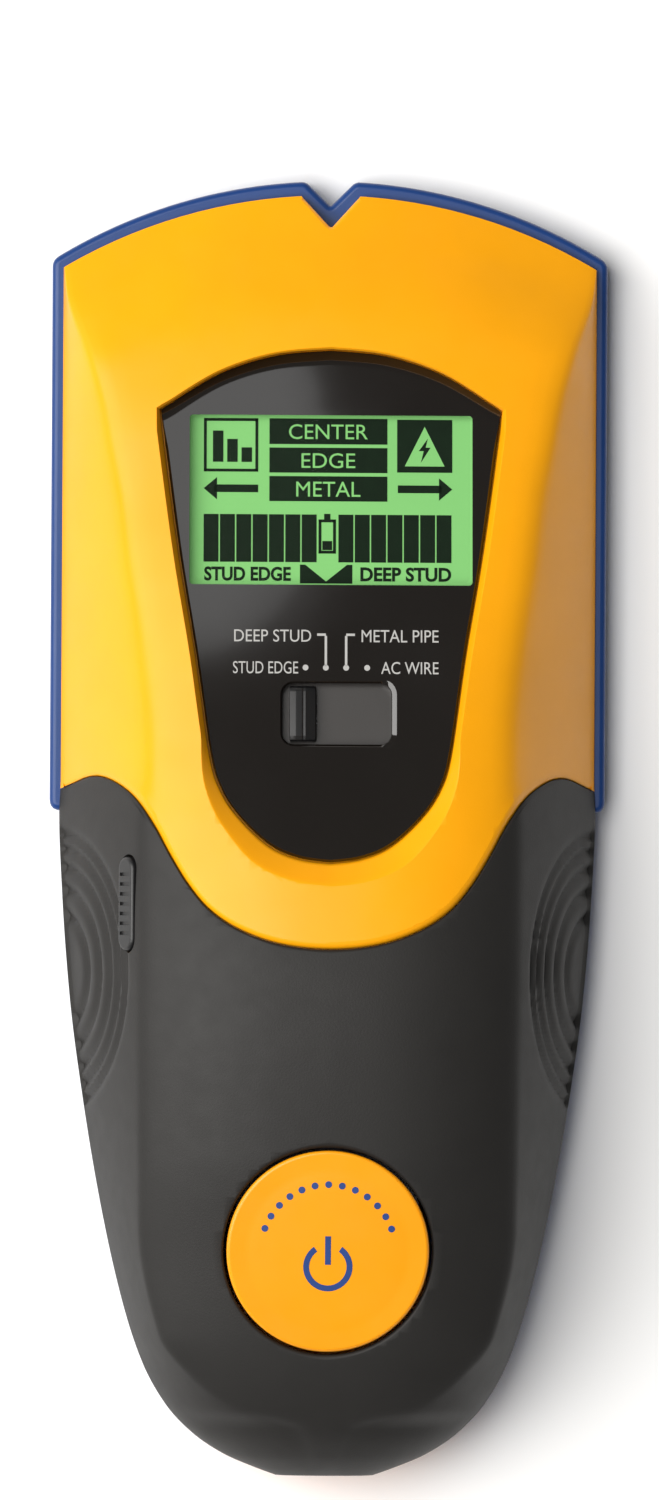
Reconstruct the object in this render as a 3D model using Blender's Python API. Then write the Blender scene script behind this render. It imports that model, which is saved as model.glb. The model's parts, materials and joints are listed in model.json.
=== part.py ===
"""A hand-held stud finder: flat sensing head with an aiming notch, display, mode slider and grip.

The sensing face lies on z = 0, +Y points to the notch and +Z out of the display side.
Lengths below are in millimetres and become metres where the meshes are made.
"""

import math

import bmesh
import bpy
from mathutils import Matrix, Vector

MM = 0.001
GAP = 0.3

# Head outline
HEAD_HALF_WIDTH = 40.0
HEAD_END_Y = 2.3
FRONT_APEX_Y = 93.13
FRONT_RADIUS = 75.0
NOTCH_SLOPE = 1.125
NOTCH_TIP_Y = 89.5
HOUSING_NOTCH_TIP_Y = 86.7
TAIL_Y = -93.0

# Shells
TRAY_TOP_Z = 6.7
TRAY_FLOOR = 2.0
TRAY_WALL = 3.8
SHELL = 2.2
GRIP_LAYER = 1.5

# Display deck: a plane that rises towards the handle
DECK_SLOPE = 0.235
DECK_Y = 32.2
DECK_Z = 26.1
FACEPLATE_THICKNESS = 1.5
LCD_HALF_WIDTH = 20.25
LCD_Y = (34.9, 59.5)
SLIDER_WINDOW_X = (-6.9, 8.7)
SLIDER_WINDOW_Y = (11.2, 20.9)
SLIDER_TRAVEL = 8.7

# Round button: its face lies on a plane that falls towards the tail
BUTTON_Y = -61.1
BUTTON_Z = 32.5
BUTTON_SLOPE = 0.263
BUTTON_RADIUS = 14.9

# Side key, in the left flank of the grip
KEY_CENTRE = (-28.6, -10.9, 28.0)
KEY_ANGLE = math.radians(32.0)
KEY_HALF_SIZE = (1.9, 6.7)

# Battery compartment
DOOR_SLOPE = 0.1
DOOR_FRONT_Y = -17.0
DOOR_HALF_WIDTH = 14.3
DOOR_FLANGE = 15.5
DOOR_THICKNESS = 2.0
DOOR_LIP = 7.6
PAD_THICKNESS = 0.9
RAIL_REAR_Y = -73.0
BATTERY_SIZE = (26.2, 46.4, 17.0)
BATTERY_CENTRE_Y = -41.5

SCREW_PLACES = ((-33.0, 66.0), (33.0, 66.0), (-30.5, -3.0), (30.5, -3.0), (-20.8, -71.0), (20.8, -71.0))


def clear_scene():
    for old in list(bpy.data.objects):
        bpy.data.objects.remove(old, do_unlink=True)


def plastic(name, colour, roughness=0.4, metallic=0.0, alpha=1.0):
    material = bpy.data.materials.new(name)
    material.use_nodes = True
    shader = material.node_tree.nodes["Principled BSDF"]
    shader.inputs["Base Color"].default_value = (*colour, 1.0)
    shader.inputs["Roughness"].default_value = roughness
    shader.inputs["Metallic"].default_value = metallic
    shader.inputs["Alpha"].default_value = alpha
    material.diffuse_color = (*colour, 1.0)
    return material


# ---------------------------------------------------------------- curves


def through(*points):
    """A function that passes through the points without overshooting (monotone cubic)."""
    knots = sorted(points)
    slopes = [
        (b[1] - a[1]) / (b[0] - a[0]) for a, b in zip(knots, knots[1:])
    ]
    tangents = [slopes[0]]
    for before, after in zip(slopes, slopes[1:]):
        steady = before * after > 0
        tangents.append(2 * before * after / (before + after) if steady else 0.0)
    tangents.append(slopes[-1])

    def value(t):
        t = min(max(t, knots[0][0]), knots[-1][0])
        i = max(k for k in range(len(knots) - 1) if knots[k][0] <= t)
        width = knots[i + 1][0] - knots[i][0]
        u = (t - knots[i][0]) / width
        start = (1 + 2 * u) * (1 - u) ** 2 * knots[i][1]
        start_slope = u * (1 - u) ** 2 * width * tangents[i]
        end = u * u * (3 - 2 * u) * knots[i + 1][1]
        end_slope = u * u * (u - 1) * width * tangents[i + 1]
        return start + start_slope + end + end_slope

    return value


def front_drop(x, radius=FRONT_RADIUS):
    return radius - math.sqrt(radius * radius - x * x)


def deck_z(y):
    return DECK_Z - DECK_SLOPE * (y - DECK_Y)


def button_z(y):
    return BUTTON_Z + BUTTON_SLOPE * (y - BUTTON_Y)


# Body sections, each as a function of the station along the length
half_width = through(
    (-93, 7.0), (-92, 9.8), (-90, 14.5), (-87, 19.0), (-83, 22.8), (-77, 26.2), (-68, 29.2),
    (-54, 32.4), (-39, 35.0), (-25, 36.9), (-10, 38.1), (2, 38.6), (8, 38.4), (92, 38.4),
)
crest_z = through(
    (-93, 14.6), (-92, 17.0), (-90, 20.0), (-86, 23.6), (-76, 28.4), (-61, 32.7), (-46, 36.3),
    (-28, 38.0), (-15, 37.7), (0, 36.0), (14, 33.2), (30, 29.6), (44, 26.3), (54, 23.8),
    (62.5, 21.7), (69, 19.8), (75, 17.7), (87.3, 10.4), (91.4, 8.0),
)
crease_x = through(
    (-93, 1.5), (-90, 2.5), (-86, 4.5), (-83.3, 12.1), (-78.7, 18.7), (-72.6, 23.6), (-57, 26.6),
    (-3, 26.6), (14, 26.0), (30, 27.2), (44, 29.0), (54, 30.0), (62.5, 31.5), (70.4, 33.0),
    (77.7, 35.0), (87.3, 37.9), (91.4, 38.3),
)
crease_drop = through(
    (-93, 0.1), (-86, 0.6), (-79, 2.6), (-73, 4.0), (-57, 5.5), (-28, 5.8), (-5, 5.2), (14, 3.9),
    (30, 2.8), (44, 2.2), (62.5, 1.5), (75, 1.0), (91.4, 0.05),
)
parting_z = through((-93, 11.5), (-80, 11.2), (-60, 10.4), (-40, 9.4), (-20, 8.0), (2, 7.0), (92, 7.0))
belly_half_width = through(
    (-93, 4.6), (-92, 7.0), (-90, 11.5), (-87, 15.6), (-80, 20.4), (-60, 25.5), (-25, 31.0), (8, 33.5),
)
flank_roundness = through((-93, 0.95), (-86, 0.8), (-78, 0.4), (-66, 0.22), (-40, 0.18), (92, 0.15))
arc_share = through((-5, 0.0), (5, 0.05), (28, 0.5), (50, 0.95), (60, 1.0), (92, 1.0))


def belly_z(y):
    """Underside of the handle: level with the sensing face, then a straight rise along the battery door."""
    return DOOR_SLOPE * max(0.0, DOOR_FRONT_Y - y)


STATIONS = (
    -93, -92, -90.5, -88.5, -86, -83, -79, -74, -67, -58, -48, -38, -27, -17, -6, 3, 12, 22,
    32, 42, 52, 61, 69, 75, 81, 87, 91.4,
)
TOP_STEPS = 6
SIDE_STEPS = 4


def mirrored(half):
    """A closed ring from its right half, which runs from the top centre to the bottom centre."""
    left = [(-x, z) for x, z in reversed(half) if x > 1e-6]
    return half + left


def upper_ring(station, inset, floor):
    """Section of the top shell: crown, crease, flank, and flat underneath at the height floor."""
    crease = max(crease_x(station) - 0.45 * inset, 0.8)
    crest = crest_z(station) - inset
    shoulder = crest - crease_drop(station)
    edge = half_width(station) - inset
    foot = parting_z(station)
    crease = min(crease, edge - 0.05)
    shoulder = max(shoulder, floor + 0.2)
    crest = max(crest, floor + 0.25)
    roundness = flank_roundness(station)
    half = []
    for i in range(TOP_STEPS + 1):
        share = i / TOP_STEPS
        half.append((crease * share, crest - (crest - shoulder) * share**2.8))
    for i in range(1, SIDE_STEPS + 1):
        share = i / SIDE_STEPS
        turn = math.pi / 2 * share
        out = share + roundness * (math.sin(turn) - share)
        down = share + roundness * (1 - math.cos(turn) - share)
        height = shoulder + (foot - shoulder) * down
        half.append((crease + (edge - crease) * out, max(height, floor + 0.1)))
    half.append((edge, floor))
    half.append((0.0, floor))
    return mirrored(half)


def lower_ring(station, inset, ceiling):
    """Section of the handle's bottom shell, flat on top at the height ceiling."""
    edge = half_width(station) - inset
    top = parting_z(station) - GAP
    bottom = belly_z(station) + inset
    flat = belly_half_width(station) - inset
    half = [(0.0, ceiling), (edge, ceiling), (edge, top - 0.05)]
    for i in range(1, 4):
        turn = math.pi / 2 * i / 4
        half.append(
            (flat + (edge - flat) * math.cos(turn), top - (top - bottom) * math.sin(turn))
        )
    half.append((flat, bottom))
    half.append((0.0, bottom))
    return mirrored(half)


def sheared(ring, station):
    """Places a section at its station, swept forwards along the head's front arc."""
    share = arc_share(station)
    return [(x, station - share * front_drop(x), z) for x, z in ring]


# ---------------------------------------------------------------- meshes


def mesh_object(name, vertices, faces, material):
    mesh = bpy.data.meshes.new(name)
    mesh.from_pydata([[c * MM for c in v] for v in vertices], [], faces)
    work = bmesh.new()
    work.from_mesh(mesh)
    bmesh.ops.recalc_face_normals(work, faces=work.faces)
    work.to_mesh(mesh)
    work.free()
    made = bpy.data.objects.new(name, mesh)
    bpy.context.collection.objects.link(made)
    if material:
        mesh.materials.append(material)
    return made


def loft(name, rings, material=None, flat_faces=True):
    """Joins closed rings of equal length and caps both ends; a twisted side needs flat triangles."""
    count = len(rings[0])
    vertices = [point for ring in rings for point in ring]
    faces = [tuple(range(count))]
    for r in range(len(rings) - 1):
        for i in range(count):
            j = (i + 1) % count
            a, b, c, d = r * count + i, r * count + j, (r + 1) * count + j, (r + 1) * count + i
            faces += [(a, b, c), (a, c, d)] if flat_faces else [(a, b, c, d)]
    faces.append(tuple(range((len(rings) - 1) * count, len(rings) * count)))
    return mesh_object(name, vertices, faces, material)


def prism(name, outline, bottom, top, material=None):
    """An outline in X and Y carried from bottom to top, each a height or a function of y."""
    low = bottom if callable(bottom) else lambda y: bottom
    high = top if callable(top) else lambda y: top
    rings = [[(x, y, low(y)) for x, y in outline], [(x, y, high(y)) for x, y in outline]]
    return loft(name, rings, material, flat_faces=False)


def box(name, centre, size, material=None):
    x, y, z = centre
    w, d, h = (side / 2 for side in size)
    outline = [(x - w, y - d), (x + w, y - d), (x + w, y + d), (x - w, y + d)]
    return prism(name, outline, z - h, z + h, material)


def circle(x, y, radius, sides):
    turns = [2 * math.pi * i / sides for i in range(sides)]
    return [(x + radius * math.cos(t), y + radius * math.sin(t)) for t in turns]


def cylinder(name, centre, radius, bottom, top, material=None, sides=20):
    return prism(name, circle(centre[0], centre[1], radius, sides), bottom, top, material)


def rounded(low, high, radius, steps=3):
    """A rectangle's outline with round corners, from its low and high corners."""
    outline = []
    corners = (
        (high[0] - radius, high[1] - radius, 0), (low[0] + radius, high[1] - radius, 1),
        (low[0] + radius, low[1] + radius, 2), (high[0] - radius, low[1] + radius, 3),
    )
    for x, y, quarter in corners:
        for i in range(steps + 1):
            turn = math.pi / 2 * (quarter + i / steps)
            outline.append((x + radius * math.cos(turn), y + radius * math.sin(turn)))
    return outline


def offset(outline, distance):
    """The closed outline, counter-clockwise, moved outwards by distance."""
    moved = []
    count = len(outline)
    for i in range(count):
        before, here, after = (Vector(outline[k % count]) for k in (i - 1, i, i + 1))
        first = (here - before).normalized()
        second = (after - here).normalized()
        normals = [Vector((d.y, -d.x)) for d in (first, second)]
        joint = (normals[0] + normals[1]).normalized()
        moved.append(tuple(here + joint * (distance / max(joint.dot(normals[0]), 0.4))))
    return moved


def smooth_on(made):
    made.data.shade_smooth()
    made.data.set_sharp_from_angle(angle=math.radians(32))
    return made


def boolean(target, tool, operation):
    step = target.modifiers.new(operation.lower(), "BOOLEAN")
    step.operation = operation
    step.solver = "EXACT"
    step.object = tool
    tool.hide_render = True
    tool.display_type = "WIRE"
    return target


def cut(target, *tools):
    for tool in tools:
        boolean(target, tool, "DIFFERENCE")
    return target


def join(target, *tools):
    for tool in tools:
        boolean(target, tool, "UNION")
    return target


def keep_inside(target, tool):
    return boolean(target, tool, "INTERSECT")


# ---------------------------------------------------------------- outlines


def head_outline(inset=0.0):
    """Head seen from above: straight sides and the front arc, counter-clockwise from the rear right."""
    side = HEAD_HALF_WIDTH - inset
    rear = HEAD_END_Y + inset
    radius = FRONT_RADIUS - inset
    outline = [(-side, rear + 1.2), (-side + 1.2, rear), (side - 1.2, rear), (side, rear + 1.2)]
    steps = 16
    for i in range(steps + 1):
        x = side - 2 * side * i / steps
        outline.append((x, FRONT_APEX_Y - inset - front_drop(x, radius)))
    return outline


def notch_outline(tip_y, depth=12.0):
    half = NOTCH_SLOPE * depth
    return [(0.0, tip_y), (half, tip_y + depth), (-half, tip_y + depth)]


def faceplate_outline():
    """Shield shape: arched top, tapering sides, rounded bottom."""
    right = [
        (0.0, 69.2), (8.0, 68.4), (16.0, 65.7), (21.0, 63.0), (25.3, 59.7), (24.4, 53.0), (22.3, 40.0),
        (19.7, 25.0), (17.5, 10.7), (15.9, 5.5), (13.2, 1.6), (8.6, -2.4), (4.4, -4.2), (0.0, -4.8),
    ]
    left = [(-x, y) for x, y in reversed(right) if x > 0]
    return list(reversed(right + left))


def grip_front(shift=0.0):
    """The line where the grip starts, from the left flank to the right: two humps and a deep valley."""
    right = [
        (0.0, -17.5), (7.0, -16.8), (12.8, -14.6), (17.1, -11.6), (20.2, -8.0), (22.8, -3.8),
        (25.2, 0.6), (28.0, 4.5), (31.2, 6.8), (34.0, 7.3), (37.4, 5.9), (46.0, 2.0),
    ]
    line = [(-x, y) for x, y in reversed(right) if x > 0] + right
    outline = line + [(46.0, -110.0), (-46.0, -110.0)]
    outline.reverse()
    return offset(outline, -shift) if shift else outline


# ---------------------------------------------------------------- housings


def body_tool(name, inset, floor_offset=0.0):
    """The top shell's outer form, drawn in by inset, as a solid."""
    rings = [
        sheared(upper_ring(station, inset, parting_z(station) + floor_offset), station) for station in STATIONS
    ]
    return loft(name, rings)


def hollow_tool(name):
    """The space inside the top shell: deeper below the handle, which carries the grip layer."""
    depth = through((-91, SHELL + GRIP_LAYER + GAP), (0, SHELL + GRIP_LAYER + GAP), (14, SHELL), (92, SHELL))
    rings = []
    for station in STATIONS:
        if station < -89 or station > 88:
            continue
        rings.append(sheared(upper_ring(station, depth(station), parting_z(station) - 1.5), station))
    return loft(name, rings)


def front_housing(material):
    shell = body_tool("front_housing", 0.0)
    shell.data.materials.append(material)
    grip_zone = prism("grip_zone_cut", grip_front(), 0.0, 60.0)
    core = body_tool("handle_core", GRIP_LAYER + GAP, floor_offset=-9.0)
    cut(grip_zone, core)
    hollow = hollow_tool("front_hollow")
    cut(hollow, display_wall(), button_well(), notch_wall("front_notch_wall"), *front_bosses())
    cut(shell, hollow)
    cut(shell, grip_zone)
    cut(shell, prism("notch_cut_front", notch_outline(HOUSING_NOTCH_TIP_Y), -5.0, 40.0))
    cut_display_openings(shell)
    cut(shell, cylinder("button_hole_front", (0, BUTTON_Y), BUTTON_RADIUS + 0.5, 5.0, 60.0, sides=40))
    cut(shell, key_tool("key_hole_front", 0.35, -16.0, 12.0))
    cut(shell, key_tool("key_flange_space", 2.0, -16.0, -4.6))
    for i, (x, y) in enumerate(SCREW_PLACES):
        cut(shell, cylinder(f"pilot_{i}", (x, y), 1.65, 0.0, screw_tip(i) + GAP, sides=12))
    return shell


def display_wall():
    """The wall and ledge round the display pocket, which the hollow leaves standing."""
    return prism("display_wall", offset(faceplate_outline(), 2.2), lambda y: deck_z(y) - 4.2, 60.0)


def cut_display_openings(shell):
    pocket = prism(
        "display_pocket", offset(faceplate_outline(), 0.35),
        lambda y: deck_z(y) - FACEPLATE_THICKNESS - GAP, 60.0,
    )
    through_hole = prism("display_hole", offset(faceplate_outline(), -2.6), 5.0, 60.0)
    module_space = prism(
        "display_module_space", rounded((-23.8, 30.6), (23.8, 62.3), 0.8, steps=1), 5.0,
        lambda y: deck_z(y) - FACEPLATE_THICKNESS - GAP - 0.05,
    )
    left, right = slider_reach()
    slider_space = prism(
        "slider_space", rounded((left - 0.4, SLIDER_WINDOW_Y[0] - 1.4), (right + 0.4, SLIDER_WINDOW_Y[1] + 1.4), 0.8),
        5.0, lambda y: deck_z(y) - FACEPLATE_THICKNESS - GAP - 0.05,
    )
    cut(shell, pocket, through_hole, module_space, slider_space)


def slider_reach():
    """How far left the slider's plate lies at rest, and how far right it goes."""
    return SLIDER_WINDOW_X[0] - SLIDER_TRAVEL - 0.1, SLIDER_WINDOW_X[1] + SLIDER_TRAVEL + 0.9


def button_well():
    return cylinder(
        "button_well", (0, BUTTON_Y), BUTTON_RADIUS + 2.4, lambda y: button_z(y) - 4.0, 60.0, sides=40
    )


def notch_wall(name):
    return prism(name, notch_outline(HOUSING_NOTCH_TIP_Y - 2.6, 20.0), -5.0, 40.0)


def front_bosses():
    return [
        cylinder(f"front_boss_{i}", (x, y), 3.0, parting_z(y) + 0.05, 60.0, sides=16)
        for i, (x, y) in enumerate(SCREW_PLACES)
    ]


def screw_tip(index):
    return (12.0, 12.0, 14.5, 14.5, 17.5, 17.5)[index]


def screw_seat(index):
    """Height of the screw head's underside."""
    return (0.7, 0.7, 0.7, 0.7, 6.3, 6.3)[index]


def base_housing(material):
    base = prism("base_housing", head_outline(), 0.0, TRAY_TOP_Z, material)
    stations = [s for s in STATIONS if s <= 3] + [7.0]
    belly = loft(
        "handle_belly",
        [[(x, s, z) for x, z in lower_ring(s, 0.0, parting_z(s) - GAP)] for s in stations],
    )
    join(base, belly)
    hollow_stations = [s for s in STATIONS if -90 < s <= 3] + [7.0]
    belly_hollow = loft(
        "belly_hollow",
        [[(x, s, z) for x, z in lower_ring(s, SHELL, parting_z(s) + 2.0)] for s in hollow_stations],
    )
    tray_hollow = prism("tray_hollow", head_outline(TRAY_WALL), TRAY_FLOOR, 20.0)
    cut(tray_hollow, notch_wall("tray_notch_wall"))
    cut(base, tray_hollow, belly_hollow)
    add_door_rails(base)
    for i, (x, y) in enumerate(SCREW_PLACES):
        seat = screw_seat(i)
        post = cylinder(f"base_post_{i}", (x, y), 3.3, seat + 0.4, parting_z(y) - GAP, sides=16)
        join(base, post)
        cut(base, cylinder(f"shank_hole_{i}", (x, y), 1.65, -5.0, 20.0, sides=12))
        cut(base, cylinder(f"head_hole_{i}", (x, y), 3.05, -5.0, seat + 2.1, sides=16))
    cut(base, prism("notch_cut_base", notch_outline(NOTCH_TIP_Y), -5.0, 30.0))
    cut(base, box("label_recess", (0, 44, 0), (34.6, 18.6, 1.2)))
    clear = 0.35
    slot = DOOR_HALF_WIDTH + clear
    wide = DOOR_FLANGE + clear
    over = DOOR_THICKNESS + clear
    cut(base, door_tool("door_opening", (-slot, slot), (-6.0, over), (-110.0, DOOR_FRONT_Y)))
    cut(base, door_tool("door_flange_space", (-wide, wide), (0.8, over), (-110.0, DOOR_FRONT_Y)))
    cut(base, door_tool("door_exit", (-wide, wide), (-6.0, over), (-110.0, RAIL_REAR_Y)))
    cut(base, door_tool("pad_exit", (-DOOR_LIP - 0.4, DOOR_LIP + 0.4), (-6.0, 30.0), (-110.0, RAIL_REAR_Y)))
    return base


def door_line(y):
    """The straight line that the door slides along, level with its underside."""
    return DOOR_SLOPE * (DOOR_FRONT_Y - y)


def door_tool(name, across, heights, along, material=None):
    """A slab along the door's slide; the heights are above the door's underside."""
    (left, right), (low, high), (rear, front) = across, heights, along
    outline = [(left, rear), (right, rear), (right, front), (left, front)]
    return prism(name, outline, lambda y: door_line(y) + low, lambda y: door_line(y) + high, material)


def add_door_rails(base):
    """An L-shaped guide over each of the door's flanges."""
    for side in (-1, 1):
        inner, step, outer = DOOR_HALF_WIDTH + 0.5, DOOR_FLANGE + 0.4, DOOR_FLANGE + 2.7
        across = sorted((side * inner, side * outer))
        riser = sorted((side * step, side * outer))
        along = (RAIL_REAR_Y, DOOR_FRONT_Y - 1.5)
        rail = door_tool(f"door_rail_{side}", across, (DOOR_THICKNESS + 0.35, DOOR_THICKNESS + 1.5), along)
        join(rail, door_tool(f"door_riser_{side}", riser, (1.0, DOOR_THICKNESS + 0.9), along))
        join(base, rail)


def grip_overmold(material):
    grip = body_tool("grip_overmold", 0.0)
    grip.data.materials.append(material)
    keep_inside(grip, prism("grip_zone", grip_front(GAP), 0.0, 60.0))
    cut(grip, body_tool("grip_core", GRIP_LAYER, floor_offset=-9.0))
    cut(grip, cylinder("button_hole_grip", (0, BUTTON_Y), BUTTON_RADIUS + 0.5, 5.0, 60.0, sides=40))
    cut(grip, key_tool("key_hole_grip", 0.35, -16.0, 12.0))
    return grip


# ---------------------------------------------------------------- display


def display_parts(materials):
    under = FACEPLATE_THICKNESS
    faceplate = prism(
        "display_faceplate", faceplate_outline(), lambda y: deck_z(y) - under, deck_z, materials["black_gloss"]
    )
    low, high = LCD_Y
    window = rounded((-LCD_HALF_WIDTH, low), (LCD_HALF_WIDTH, high), 0.6, steps=1)
    cut(faceplate, prism("lcd_hole", window, 0.0, 60.0))
    slider_hole = rounded(
        (SLIDER_WINDOW_X[0], SLIDER_WINDOW_Y[0]), (SLIDER_WINDOW_X[1], SLIDER_WINDOW_Y[1]), 1.6
    )
    cut(faceplate, prism("slider_hole", slider_hole, 0.0, 60.0))

    def plate(name, corner_low, corner_high, top, bottom, material):
        outline = rounded(corner_low, corner_high, 0.5, steps=1)
        return prism(name, outline, lambda y: deck_z(y) - bottom, lambda y: deck_z(y) - top, material)

    side = LCD_HALF_WIDTH
    plate("lcd_window", (-side + GAP, low + GAP), (side - GAP, high - GAP), 0.15, 1.3, materials["clear"])
    plate("lcd_glass", (-22.0, 32.4), (22.0, 60.6), 1.9, 4.0, materials["lcd"])
    plate("lcd_backlight", (-21.6, 35.0), (21.6, 58.0), 4.3, 6.8, materials["light_guide"])
    plate("zebra_strip_upper", (-20.0, 58.4), (20.0, 60.2), 4.3, 7.1, materials["rubber"])
    plate("zebra_strip_lower", (-20.0, 32.8), (20.0, 34.6), 4.3, 7.1, materials["rubber"])
    frame = plate("lcd_frame", (-23.4, 31.0), (23.4, 61.9), 2.4, 7.1, materials["white"])
    hole = rounded((-22.3, 32.1), (22.3, 60.9), 0.5, steps=1)
    cut(frame, prism("lcd_frame_hole", hole, 0.0, 60.0))


def slider_parts(materials):
    """Thumb slider in its window, and the slide switch under it."""
    y_low, y_high = SLIDER_WINDOW_Y
    middle = (y_low + y_high) / 2
    rest_x = SLIDER_WINDOW_X[0] + 3.25
    left, right = slider_reach()
    right -= SLIDER_TRAVEL

    def deck(offset_w):
        return lambda y: deck_z(y) - offset_w

    knob = prism(
        "mode_slider_knob", rounded((left, y_low - 0.9), (right, y_high + 0.9), 0.8, steps=1),
        deck(2.6), deck(1.85), materials["slider"],
    )
    ridge = prism(
        "slider_ridge", rounded((rest_x - 1.9, y_low + 0.5), (rest_x + 1.9, y_high - 0.5), 0.7, steps=2),
        deck(2.4), deck(-0.55),
    )
    join(knob, ridge)
    reach = 1.75
    cut(knob, prism(
        "slider_socket", rounded((rest_x - reach, middle - reach), (rest_x + reach, middle + reach), 0.3, steps=1),
        deck(9.0), deck(0.7),
    ))
    actuator = prism(
        "slide_switch_actuator",
        rounded((rest_x - 1.4, middle - 1.4), (rest_x + 1.4, middle + 1.4), 0.3, steps=1),
        deck(4.9), deck(1.1), materials["black"],
    )
    body = prism(
        "slide_switch_body", rounded((rest_x - 4.4, middle - 3.4), (rest_x + SLIDER_TRAVEL + 4.4, middle + 3.4), 0.4, steps=1),
        deck(7.1), deck(3.2), materials["steel"],
    )
    cut(body, prism(
        "actuator_slot",
        rounded((rest_x - 1.8, middle - 1.8), (rest_x + SLIDER_TRAVEL + 1.8, middle + 1.8), 0.3, steps=1),
        deck(5.3), deck(-5.0),
    ))
    return knob, actuator


def main_board(materials):
    """Main circuit board on the deck's slope, and what is soldered to it."""
    outline = [(-20.5, 61.5), (-22.3, 50.0), (-17.8, 22.0), (-15.6, 8.0), (-10.0, 2.0), (10.0, 2.0), (15.6, 8.0),
               (17.8, 22.0), (22.3, 50.0), (20.5, 61.5)]
    prism("main_pcb", outline, lambda y: deck_z(y) - 9.0, lambda y: deck_z(y) - 7.4, materials["pcb"])

    def chip(name, x, y, width, depth, height, material):
        low = [(x - width / 2, y - depth / 2), (x + width / 2, y - depth / 2),
               (x + width / 2, y + depth / 2), (x - width / 2, y + depth / 2)]
        prism(name, low, lambda v: deck_z(v) - 9.3 - height, lambda v: deck_z(v) - 9.3, material)

    chip("microcontroller", 0, 46, 12, 12, 1.5, materials["black"])
    chip("sensor_amplifier", -11, 30, 5.2, 6.2, 1.6, materials["black"])
    chip("voltage_regulator", 11, 30, 6.5, 4.5, 1.7, materials["black"])
    chip("crystal_can", 0, 33, 10.5, 4.2, 3.4, materials["steel"])
    chip("ribbon_header", 0, 21, 15, 4, 4.2, materials["white"])
    cylinder("filter_capacitor", (-9, 11), 3.2, deck_z(11) - 18.8, deck_z(11) - 10.8, materials["blue"], sides=16)
    cylinder("piezo_buzzer", (8.5, 13), 4.6, deck_z(13) - 15.4, deck_z(13) - 11.2, materials["black"], sides=20)


def sensor_parts(materials):
    """Sensing electrodes on the tray floor, their board, shield and metal-sensing coil."""
    half = 27.5
    outline = [(-half, 9.0), (half, 9.0), (half, 70.0)]
    steps = 8
    for i in range(1, steps):
        x = half - 2 * half * i / steps
        outline.append((x, 81.5 - front_drop(x, 45.0)))
    outline.append((-half, 70.0))
    prism("sensor_board", outline, 2.95, 4.55, materials["pcb"])
    for name, x, width in (
        ("sense_plate_left", -18.0, 15.0), ("sense_plate_center", 0.0, 18.0), ("sense_plate_right", 18.0, 15.0),
    ):
        box(name, (x, 41.0, 2.47), (width, 58.0, 0.3), materials["copper"])
    shield = box("sensor_shield", (0, 66.0, 6.35), (30, 14, 3.0), materials["steel"])
    cut(shield, box("shield_hollow", (0, 66.0, 5.6), (29.0, 13.0, 2.5)))
    coil = cylinder("metal_sense_coil", (0, 36.0), 18.0, 4.9, 8.4, materials["copper"], sides=32)
    cut(coil, cylinder("coil_bore", (0, 36.0), 14.0, 0.0, 20.0, sides=32))
    ribbon = ribbon_route()
    side = 6.3
    rings = []
    for (x, y, z), (dy, dz) in zip(ribbon, ribbon_normals(ribbon)):
        thick = 0.2
        rings.append([
            (-side, y - dy * thick, z - dz * thick), (side, y - dy * thick, z - dz * thick),
            (side, y + dy * thick, z + dz * thick), (-side, y + dy * thick, z + dz * thick),
        ])
    loft("sensor_ribbon", rings, materials["ribbon"])


def ribbon_route():
    """A flat lead from the main board's header down to the sensor board."""
    top = deck_z(21) - 13.9
    return [(0, 19.4, top), (0, 18.2, top - 1.6), (0, 17.0, top - 4.4), (0, 15.6, top - 6.4), (0, 13.4, 6.4),
            (0, 12.0, 5.2)]


def ribbon_normals(route):
    normals = []
    for i in range(len(route)):
        a = route[max(i - 1, 0)]
        b = route[min(i + 1, len(route) - 1)]
        along = Vector((b[1] - a[1], b[2] - a[2])).normalized()
        normals.append((-along.y, along.x))
    return normals


# ---------------------------------------------------------------- buttons


def round_button(materials):
    cap = cylinder(
        "round_button", (0, BUTTON_Y), BUTTON_RADIUS, lambda y: button_z(y) - 1.7,
        lambda y: button_z(y) + 0.5, materials["button"], sides=48,
    )
    boss = cylinder(
        "button_boss", (0, BUTTON_Y), 3.0, lambda y: button_z(y) - 2.2, lambda y: button_z(y) - 0.8, sides=16
    )
    join(cap, boss)
    dome = cylinder(
        "button_dome", (0, BUTTON_Y), 4.8, lambda y: button_z(y) - 4.7, lambda y: button_z(y) - 2.6,
        materials["rubber"], sides=20,
    )
    cut(dome, cylinder(
        "dome_hollow", (0, BUTTON_Y), 3.8, lambda y: button_z(y) - 9.0, lambda y: button_z(y) - 3.4, sides=20
    ))
    board = rounded((-9.0, BUTTON_Y - 5.4), (9.0, BUTTON_Y + 8.0), 0.6, steps=1)
    prism("button_board", board, lambda y: button_z(y) - 5.8, lambda y: button_z(y) - 5.0, materials["pcb"])
    return cap, dome


def key_matrix():
    """Turns the key's own axes into the body's: its local +Z points out of the left flank."""
    outward = Vector((-math.cos(KEY_ANGLE), 0.0, math.sin(KEY_ANGLE)))
    along = Vector((0.0, 1.0, 0.0))
    across = along.cross(outward)
    turn = Matrix((across, along, outward)).transposed().to_4x4()
    return Matrix.Translation(Vector(KEY_CENTRE) * MM) @ turn


def key_tool(name, grow, bottom, top, material=None):
    """A pill standing along the key's axis, grown by grow all round."""
    across, along = (half + grow for half in KEY_HALF_SIZE)
    outline = rounded((-across, -along), (across, along), across - 0.1, steps=5)
    tool = prism(name, outline, bottom, top, material)
    tool.matrix_world = key_matrix()
    return tool


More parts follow.
